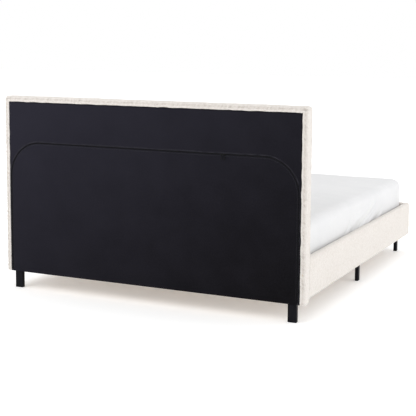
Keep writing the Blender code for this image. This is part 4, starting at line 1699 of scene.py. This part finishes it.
@dataclass
class ZipSliders:
    """The two zip sliders, which meet nose to nose, and their hanging pulls."""

    finishes: Finishes
    plate: float = 0.0011
    bevel: float = 0.00035
    ring_turns: int = 32

    def build(self) -> None:
        """Makes both sliders and both pulls."""
        for side in Side:
            self.slider(side)
            self.pull(side)

    @staticmethod
    def shield(low: Vector, high: Vector, nose: int, steps: int = 28) -> np.ndarray:
        """A slider wing's outline: wide at its nose and narrower at its tail.

        Args:
            low: the slider's lowest corner.
            high: its highest corner.
            nose: the sign of X towards its nose.
            steps: points round it.

        Returns:
            The outline as X and Z.
        """
        turns = np.linspace(0.0, FULL_TURN, steps, endpoint=False)
        x, z = np.cos(turns), np.sin(turns)
        x, z = np.sign(x) * np.abs(x) ** 0.6, np.sign(z) * np.abs(z) ** 0.6
        narrow = 0.80 + 0.20 * x
        centre, half = (low + high) / 2, (high - low) / 2
        return np.stack([centre.x + nose * x * half.x, centre.z + z * narrow * half.z], 1)

    def slider(self, side: Side) -> None:
        """One slider: an outer wing, a neck, and the bridge that its pull hangs from."""
        low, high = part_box(f"zip_slider_{side.label}")
        nose = -side.value
        wing = self.shield(low, high, nose)
        centre = (low + high) / 2
        core = Vector((centre.x, 0.0, centre.z))
        inner = np.array((core.x, core.z)) + (wing - (core.x, core.z)) * 0.55
        rim = np.array((core.x, core.z)) + (wing - (core.x, core.z)) * (1.0, 0.82)
        outer_y = low.y + self.plate
        parts = [prism("wing", [wing], low.y, outer_y, self.bevel),
                 prism("neck", [rim], low.y - 0.0016, low.y + 0.0002, 0.0002),
                 prism("boss", [inner], outer_y - 0.0001, outer_y + 0.0006, self.bevel)]
        parts.append(self.bridge(core, outer_y + 0.0004, high.y, (high.x - low.x) * 0.36))
        for part in parts:
            part.data.materials.append(self.finishes.zip_metal)
        name = f"zip_slider_body_{side.label}"
        settle(joined(name, parts), f"zip_slider_{side.label}", None,
               [f"zip_slider_{side.label}"])

    @staticmethod
    def bridge(core: Vector, base: float, top: float, reach: float) -> Piece:
        """The strap that bows out over the wing, from end to end of it."""
        turns = np.linspace(0.0, math.pi, 15)
        half, thick = 0.0011, 0.0007
        net = []
        for turn in turns:
            ridge = np.array((core.x - reach * math.cos(turn),
                              base + (top - base) * math.sin(turn)))
            reached = ridge - (core.x, base)
            inner = ridge - reached * thick / max(np.linalg.norm(reached), thick * 2)
            net.append([(ridge[0], ridge[1], core.z - half), (ridge[0], ridge[1], core.z + half),
                        (inner[0], inner[1], core.z + half), (inner[0], inner[1], core.z - half),
                        (ridge[0], ridge[1], core.z - half)])
        piece = surface("bridge", [np.array(net)])
        closed_up(piece, open_ends=True)
        piece.data.set_sharp_from_angle(angle=math.radians(40))
        return piece

    def pull(self, side: Side) -> None:
        """One pull: a tapered tab with an eye at its top and a raised rim round its end."""
        low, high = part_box(f"zip_pull_{side.label}")
        centre, half = (low + high) / 2, (high - low) / 2
        turns = np.linspace(0.0, FULL_TURN, self.ring_turns, endpoint=False)
        x, z = np.cos(turns), np.sin(turns)
        x, z = np.sign(x) * np.abs(x) ** 0.7, np.sign(z) * np.abs(z) ** 0.7
        width = 0.72 - 0.28 * z
        tab = np.stack([centre.x + x * half.x * width, centre.z + z * half.z], 1)
        eye = np.stack([centre.x + np.cos(turns) * half.x * 0.26,
                        high.z - half.x * 0.85 + np.sin(turns) * half.x * 0.42], 1)
        rim = np.stack([centre.x + x * half.x * 0.68,
                        low.z + half.z * 0.42 + z * half.z * 0.30], 1)
        window = np.stack([centre.x + x * half.x * 0.44,
                           low.z + half.z * 0.42 + z * half.z * 0.22], 1)
        parts = [prism("tab", [tab, eye], low.y + 0.0002, high.y - 0.0002, 0.0002),
                 prism("rim", [rim, window], high.y - 0.0003, high.y, 0.0001)]
        for part in parts:
            part.data.materials.append(self.finishes.zip_metal)
        settle(joined(f"zip_pull_tab_{side.label}", parts), f"zip_pull_{side.label}",
               None, [f"zip_pull_{side.label}"])


@dataclass
class Rails:
    """The upholstered side rails and footboard, with what is screwed to their inner faces."""

    finishes: Finishes
    patterns: Patterns
    pitch: float = 0.010
    length_pitch: float = 0.014
    ease: float = 0.016
    end_ease: float = 0.005
    puff: float = 0.0035
    screw_pitch: float = 0.240
    bolt_inset: float = 0.020  # from the top and bottom of a bracket
    bolt_seat: float = 0.0031  # from a bracket's outer face, just over its inner one
    staple_pitch: float = 0.045

    def build(self) -> None:
        """Makes and dresses the rails, the footboard and their fittings."""
        for side in Side:
            self.padded(f"side_rail_boucle_{side.label}", f"side_rail_cover_{side.label}",
                        (-side.value, 0), 71 + side.value)
            dress((f"side_rail_board_{side.label}",), self.finishes.ply_x)
            dress((f"side_rail_foam_{side.label}",), self.finishes.foam)
            dress((f"slat_ledger_{side.label}",), self.finishes.pine_y)
            dress((f"mid_leg_{side.label}", f"foot_leg_{side.label}"), self.finishes.black_wood)
            dress((f"head_bracket_{side.label}", f"foot_bracket_{side.label}"), self.finishes.steel)
        self.padded("footboard_boucle", "footboard_cover", (0, 1), 75)
        dress(("footboard_board",), self.finishes.ply_y)
        dress(("footboard_foam",), self.finishes.foam)
        dress(("centre_beam",), self.finishes.pine_y)
        dress(("beam_seat_head", "beam_seat_foot", "centre_leg_head", "centre_leg_foot"),
              self.finishes.pine_z)
        self.staples()
        self.bolts()
        self.screws()

    def padded(self, name: str, node: str, inner: tuple[int, int], seed: int) -> None:
        """One padded boucle cover.

        Args:
            name: the piece's name.
            node: the CAD node that it replaces.
            inner: the direction in X and Y of the board's stapled inner face.
            seed: picks its unevenness.
        """
        low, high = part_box(node)
        pitch = (self.pitch, self.length_pitch, self.pitch)
        radii = (self.ease, self.end_ease, self.ease)
        if inner[1]:
            pitch, radii = (self.length_pitch, self.pitch, self.pitch), (self.ease,) * 3
        piece = soft_block(name, tuple(low), tuple(high), radii, pitch)
        points, normals = points_of(piece), normals_of(piece)
        inwards = normals[:, 0] * inner[0] + normals[:, 1] * inner[1]
        ends = np.abs(normals[:, 1] if inner[0] else normals[:, 0])
        held = (inwards > 0.6) | (normals[:, 2] < -0.6) | (ends > 0.7)
        inflate(piece, held, 4.0, self.puff)
        refined(piece)
        points, normals = points_of(piece), normals_of(piece)
        free = 1.0 - rise(normals[:, 0] * inner[0] + normals[:, 1] * inner[1], 0.2, 0.8)
        free *= 1.0 - rise(-normals[:, 2], 0.3, 0.9)
        waves = (0.0009 * ripple(points, 0.26, seed) + 0.0005 * ripple(points, 0.05, seed + 10)
                 + 0.00035 * ripple(points, 0.022, seed + 20))
        swell(piece, waves * free)
        settle(piece, Body.FRAME, self.finishes.boucle, [node])

    def staples(self) -> None:
        """Staples along the covers' undersides."""
        lines = []
        for side in Side:
            low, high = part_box(f"side_rail_cover_{side.label}")
            x = (low.x + high.x) / 2 - side.value * 0.006
            lines.append(np.array([(x, low.y + 0.04, low.z), (x, high.y - 0.04, low.z)]))
        low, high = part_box("footboard_cover")
        y = (low.y + high.y) / 2 + 0.006
        lines.append(np.array([(low.x + 0.04, y, low.z), (high.x - 0.04, y, low.z)]))
        piece = self.patterns.along.apply(
            paths("rail_staples", lines), Template=bar("staple", 6, 0.0006, 0.011),
            Pitch=self.staple_pitch, Facing=DOWNWARD, Finish=self.finishes.zinc,
            **Copies(0.95, 1.05, 81).values())
        settle(piece, Body.FRAME)

    def bolts(self) -> None:
        """Hexagon-socket bolts through the corner brackets."""
        places, facing, along = [], [], []
        for side in Side:
            for end, way in (("head", -1), ("foot", 1)):
                low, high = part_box(f"{end}_bracket_{side.label}")
                wall = high.y if end == "head" else low.y
                outer = high.x if side is Side.RIGHT else low.x
                for z in (low.z + self.bolt_inset, high.z - self.bolt_inset):
                    places += [(outer - side.value * self.bolt_seat, (low.y + high.y) / 2, z),
                               ((low.x + high.x) / 2, wall + way * self.bolt_seat, z)]
                    facing += [(-side.value, 0.0, 0.0), (0.0, way, 0.0)]
                    along += [(0.0, 1.0, 0.0), (1.0, 0.0, 0.0)]
        piece = self.patterns.at.apply(
            spots("bracket_bolts", places, facing, along),
            Template=bolt_head("bolt", 20, 0.0065, 0.0042, 0.0030), Finish=self.finishes.zinc,
            **Copies().values())
        settle(piece, Body.FRAME)

    def screws(self) -> None:
        """Countersunk screws through the slat ledgers."""
        places, facing, along = [], [], []
        for side in Side:
            low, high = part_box(f"slat_ledger_{side.label}")
            x = high.x if side is Side.LEFT else low.x
            count = round((high.y - low.y - 0.12) / self.screw_pitch)
            for number, y in enumerate(np.linspace(low.y + 0.06, high.y - 0.06, count + 1)):
                z = (low.z + high.z) / 2 + (0.008 if number % 2 else -0.008)
                places.append((x - side.value * 0.0001, y, z))
                facing.append((-side.value, 0.0, 0.0))
                along.append((0.0, math.cos(number), math.sin(number)))
        piece = self.patterns.at.apply(
            spots("ledger_screws", places, facing, along),
            Template=bolt_head("screw", 16, 0.0042, 0.0006, 0.0016), Finish=self.finishes.zinc,
            **Copies().values())
        settle(piece, Body.FRAME)


@dataclass
class SlatBase:
    """The slats and the two webbing bands that keep them apart."""

    finishes: Finishes
    patterns: Patterns
    count: int = 13

    def build(self) -> None:
        """Dresses the slats and webbing and staples them together."""
        names = [f"slat_{number:02d}" for number in range(1, self.count + 1)]
        dress(names, self.finishes.pine_x)
        dress(("slat_webbing_left", "slat_webbing_right"), self.finishes.webbing)
        places = []
        for side in Side:
            band_low, band_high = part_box(f"slat_webbing_{side.label}")
            for name in names:
                low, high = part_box(name)
                for share in (0.3, 0.7):
                    for x in (band_low.x + 0.007, band_high.x - 0.007):
                        places.append((x, low.y + (high.y - low.y) * share, band_high.z))
        piece = self.patterns.at.apply(
            spots("webbing_staples", places, [(0.0, 0.0, 1.0)] * len(places),
                  [(0.0, 1.0, 0.0)] * len(places)),
            Template=bar("staple", 6, 0.0005, 0.010, 0.5), Finish=self.finishes.zinc,
            **Copies(0.95, 1.05, 91).values())
        settle(piece, Body.SLATS)


@dataclass(frozen=True)
class Fold:
    """A fold pulled across a sheet's side, from a high end to a low end, as Y and Z."""

    high_end: tuple[float, float]
    low_end: tuple[float, float]
    height: float
    width: float = 0.011

    def at(self, y: np.ndarray, z: np.ndarray) -> np.ndarray:
        """The fold's height at each place on the side."""
        start, end = np.array(self.high_end), np.array(self.low_end)
        along = end - start
        length = float(np.linalg.norm(along))
        along /= length
        share = ((y - start[0]) * along[0] + (z - start[1]) * along[1]) / length
        bow = 0.012 * np.sin(math.pi * np.clip(share, 0.0, 1.0))
        across = (y - start[0]) * -along[1] + (z - start[1]) * along[0] + bow
        reach = rise(share, -0.12, 0.35) * (1.0 - rise(share, 1.0, 1.35))
        ridge = bell(across, self.width)
        hollow = bell(across - 2.1 * self.width, 1.5 * self.width)
        return self.height * reach * (ridge - 0.75 * hollow)


@dataclass
class Bedding:
    """The mattress and the fitted sheet pulled over it."""

    finishes: Finishes
    patterns: Patterns
    sheet_cut: tuple[float, float] = (2.44, 2.64)
    corner: float = 0.060  # upright corners, in plan
    edge: float = 0.050  # soft top edge
    tuck: float = 0.045  # hem pulled in under the mattress
    tuck_bend: float = 0.022
    folds: tuple[Fold, ...] = (
        Fold((-0.40, 0.440), (-0.06, 0.335), 0.0110, 0.011),
        Fold((-0.345, 0.385), (-0.165, 0.336), 0.0085, 0.010),
        Fold((-0.26, 0.460), (0.02, 0.395), 0.0045, 0.015),
        Fold((-0.06, 0.372), (0.085, 0.325), 0.0050, 0.011),
        Fold((0.135, 0.405), (0.235, 0.325), 0.0050, 0.012),
        Fold((-0.54, 0.375), (-0.39, 0.318), 0.0055, 0.011))

    def __post_init__(self) -> None:
        """Reads the bedding's place from the frame."""
        self.low, self.high = (np.array(corner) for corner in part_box("fitted_sheet"))
        self.bed_low, self.bed_high = (np.array(corner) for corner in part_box("mattress"))

    def build(self) -> None:
        """Makes the mattress, the sheet and the sheet's elastic."""
        self.mattress()
        hem = self.elastic()
        self.sheet()

    def mattress(self) -> None:
        """The mattress: padded ticking, drawn in a little along its lower edge."""
        radii = np.array((self.corner, self.corner, self.edge)) - 0.004
        inset = np.array((0.004, 0.004, 0.0))
        low, high = self.bed_low + inset, self.bed_high - inset - (0.0, 0.0, 0.002)
        piece = soft_block("mattress_ticking", tuple(low), tuple(high), tuple(radii),
                           (0.034, 0.034, 0.03))
        points = points_of(piece)
        held = (points[:, 2] < low[2] + 0.004) | (points[:, 2] > high[2] - 0.004)
        inflate(piece, held, 3.0, 0.003)
        refined(piece)
        points = points_of(piece)
        under = 1.0 - rise(points[:, 2], low[2], low[2] + 0.01)
        tufts = np.cos(points[:, 0] * FULL_TURN / 0.24) * np.cos(points[:, 1] * FULL_TURN / 0.24)
        swell(piece, -0.0012 * under * (0.5 + 0.5 * tufts) - 0.0004)
        settle(piece, Body.BEDDING, self.finishes.ticking, ["mattress"])

    def ring(self, inset: float, z: float, pitch: float) -> np.ndarray:
        """A closed line round the bedding's plan.

        Args:
            inset: how far inside the sheet's outline it runs.
            z: its height.
            pitch: spacing of its points.

        Returns:
            The line's points.
        """
        radius = self.corner - inset
        centre = (self.low + self.high) / 2
        half = (self.high - self.low) / 2 - self.corner
        line = []
        for quarter, (right, up) in enumerate(((1, 1), (-1, 1), (-1, -1), (1, -1))):
            turns = np.linspace(0, math.pi / 2, max(4, round(radius * 1.57 / pitch))) + (
                quarter * math.pi / 2)
            line.append(np.stack([centre[0] + right * half[0] + radius * np.cos(turns),
                                  centre[1] + up * half[1] + radius * np.sin(turns)], 1))
        corners = np.concatenate(line)
        closed = np.concatenate([corners, corners[:1]])
        filled = []
        for start, end in zip(closed[:-1], closed[1:]):
            steps = max(1, round(float(np.linalg.norm(end - start)) / pitch))
            filled.append(start + (end - start) * np.linspace(0, 1, steps + 1)[:-1, None])
        flat = np.concatenate(filled)
        return np.column_stack([flat, np.full(len(flat), z)])

    def elastic(self) -> Piece:
        """The gathered elastic round the sheet's hem, under the mattress's edge."""
        line = self.ring(self.tuck_bend + 0.018, self.low[2] - 0.0030, 0.01)
        line[:, 2] += 0.0006 * ripple(line[:, :2], 0.03, 95)
        piece = self.patterns.tube.apply(
            paths("sheet_elastic", [line], closed=True), Radius=0.0022, Pitch=0.006, Sides=8,
            Finish=self.finishes.cotton)
        settle(piece, Body.BEDDING)
        return piece

    def side_folds(self, points: np.ndarray) -> np.ndarray:
        """How far the sheet stands out on its sides: pulled folds and corner gathers."""
        x, y, z = points[:, 0], points[:, 1], points[:, 2]
        level = rise(z, self.low[2] - 0.004, self.low[2] + 0.02)
        beside = rise(np.abs(x), self.high[0] - 0.03, self.high[0] - 0.006)
        total = sum(fold.at(y, z) for fold in self.folds) * (x < 0)
        total = total + sum(fold.at(y + 0.24, z) for fold in self.folds[:5]) * (x > 0) * 0.8
        total = total * beside
        middle = (self.low + self.high) / 2
        ends = rise(np.abs(y - middle[1]), self.high[1] - middle[1] - 0.03,
                    self.high[1] - middle[1] - 0.006)
        total += ends * sum(fold.at(x * 0.8 - 0.3, z) + fold.at(-x * 0.8 - 0.3, z)
                            for fold in self.folds[:3]) * 0.6
        half = np.array((self.high[0], self.high[1] - middle[1])) - self.corner
        corner = np.stack([np.abs(x) - half[0], np.abs(y - middle[1]) - half[1]], 1)
        turn = np.arctan2(np.maximum(corner[:, 1], 0.0), np.maximum(corner[:, 0], 1e-6))
        at_corner = rise(turn, 0.05, 0.5) * (1.0 - rise(turn, 1.07, 1.52))
        gathers = 0.0016 * np.cos(turn * 21.0 + z * 30.0) * at_corner
        return level * (total + gathers * (1.0 - rise(z, 0.33, 0.46)))

    def sheet(self) -> None:
        """The fitted sheet, from its top over the soft edges to the hem turned in below."""
        radii = np.array((self.corner, self.corner, self.edge))
        low, high = self.low.copy(), self.high.copy()
        low[2] -= self.tuck
        fine = 0.0075  # beside the folds; elsewhere every second line is left out

        def lines(start: float, end: float, ease: float, near: tuple[float, float]) -> np.ndarray:
            """Grid lines that are close where the folds are."""
            even = np.arange(start + ease, end - ease, fine)
            kept = [value for number, value in enumerate(even)
                    if near[0] < value < near[1] or number % 2 == 0]
            bends = ease * np.tan(np.linspace(0.0, math.pi / 4, 9))[1:]
            return np.concatenate([start + ease - bends[::-1], kept, [end - ease],
                                   end - ease + bends])

        grid = [lines(low[0], high[0], radii[0], (2.0, 3.0)),
                lines(low[1], high[1], radii[1], (-0.62, 0.36)),
                np.concatenate([np.arange(low[2], high[2] - radii[2], 0.0065),
                                high[2] - radii[2] + radii[2] * np.tan(
                                    np.linspace(0.0, math.pi / 4, 8))])]
        fold = (self.low[2] - 0.0055, self.tuck_bend)
        piece = surface("fitted_sheet_cotton",
                        folded_block(block_nets(grid, skip=((2, 0),)), low, high, radii, fold))
        points = points_of(piece)
        top = rise(points[:, 2], self.high[2] - 0.03, self.high[2] - 0.004)
        crumple = 0.0009 * ripple(points * (1.0, 0.7, 1.0), 0.30, 97)
        crumple += 0.0004 * np.abs(ripple(points * (0.5, 1.0, 1.0), 0.10, 98))
        swell(piece, self.side_folds(points) + crumple * (0.35 + 0.65 * top) - 0.0008)
        settle(piece, Body.BEDDING, self.finishes.cotton, ["fitted_sheet"])


@dataclass
class Studio:
    """The pale floor, soft lights and camera."""

    place: Point = (-2.7808, 6.1356, 1.5138)
    turn: float = math.radians(25.349)
    tilt: float = math.radians(6.723)
    roll: float = math.radians(0.349)
    lens: float = 90.34
    shift: float = -0.12  # the uprights in view are nearly parallel
    surround: float = 1.0
    floor_size: float = 60.0

    def build(self) -> None:
        """Makes the floor, world, lights and camera."""
        self.floor()
        self.world()
        self.light("side_panel", (-5.2, -0.6, 2.3), (-0.9, -0.2, 0.6), 3.6, 50.0)
        self.light("back_panel", (2.6, 4.6, 3.4), (0.4, 1.1, 0.8), 2.4, 60.0)
        self.light("top_panel", (0.0, 0.5, 5.0), (0.0, 0.0, 0.0), 5.0, 8.0)
        self.camera()
        bpy.context.scene.view_settings.view_transform = "Standard"

    def floor(self) -> None:
        """A large pale floor."""
        half = self.floor_size / 2
        mesh = bpy.data.meshes.new("studio_floor")
        mesh.from_pydata([(-half, -half, 0), (half, -half, 0), (half, half, 0), (-half, half, 0)],
                         [], [(0, 1, 2, 3)])
        piece = link("studio_floor", mesh)
        piece.data.materials.append(Painted().make())

    def world(self) -> None:
        """An even white surround."""
        world = bpy.data.worlds.new("white_surround")
        world.use_nodes = True
        background = world.node_tree.nodes["Background"]
        background.inputs["Color"].default_value = (1.0, 1.0, 1.0, 1.0)
        background.inputs["Strength"].default_value = self.surround
        bpy.context.scene.world = world

    @staticmethod
    def light(name: str, place: Point, target: Point, size: float, power: float) -> None:
        """Adds a square softbox.

        Args:
            name: the light's name.
            place: where it stands.
            target: what it points at.
            size: its edge.
            power: its power in watts.
        """
        data = bpy.data.lights.new(name, "AREA")
        data.size = size
        data.energy = power
        lamp = bpy.data.objects.new(name, data)
        bpy.context.scene.collection.objects.link(lamp)
        lamp.location = place
        lamp.rotation_euler = (Vector(target) - Vector(place)).to_track_quat("-Z", "Y").to_euler()

    def camera(self) -> None:
        """A long lens behind the headboard, to its left, looking a little down."""
        data = bpy.data.cameras.new("camera")
        data.lens = self.lens
        data.shift_y = self.shift
        camera = bpy.data.objects.new("camera", data)
        bpy.context.scene.collection.objects.link(camera)
        forward = Vector((math.sin(self.turn) * math.cos(self.tilt),
                          -math.cos(self.turn) * math.cos(self.tilt), -math.sin(self.tilt)))
        level = forward.cross(Vector((0.0, 0.0, 1.0))).normalized()
        above = level.cross(forward)
        right = level * math.cos(self.roll) + above * math.sin(self.roll)
        up = above * math.cos(self.roll) - level * math.sin(self.roll)
        turned = Matrix((right, up, -forward)).transposed().to_4x4()
        camera.matrix_world = Matrix.Translation(self.place) @ turned
        bpy.context.scene.camera = camera


def main() -> None:
    """Builds the bed's looks in order."""
    logging.basicConfig(level=logging.INFO, format="%(message)s")
    Studio().build()
    finishes, patterns = Finishes(), Patterns()
    Headboard(finishes, patterns).build()
    BackCover(finishes, patterns).build()
    ZipSliders(finishes).build()
    Rails(finishes, patterns).build()
    SlatBase(finishes, patterns).build()
    Bedding(finishes, patterns).build()


if __name__ == "__main__":
    main()
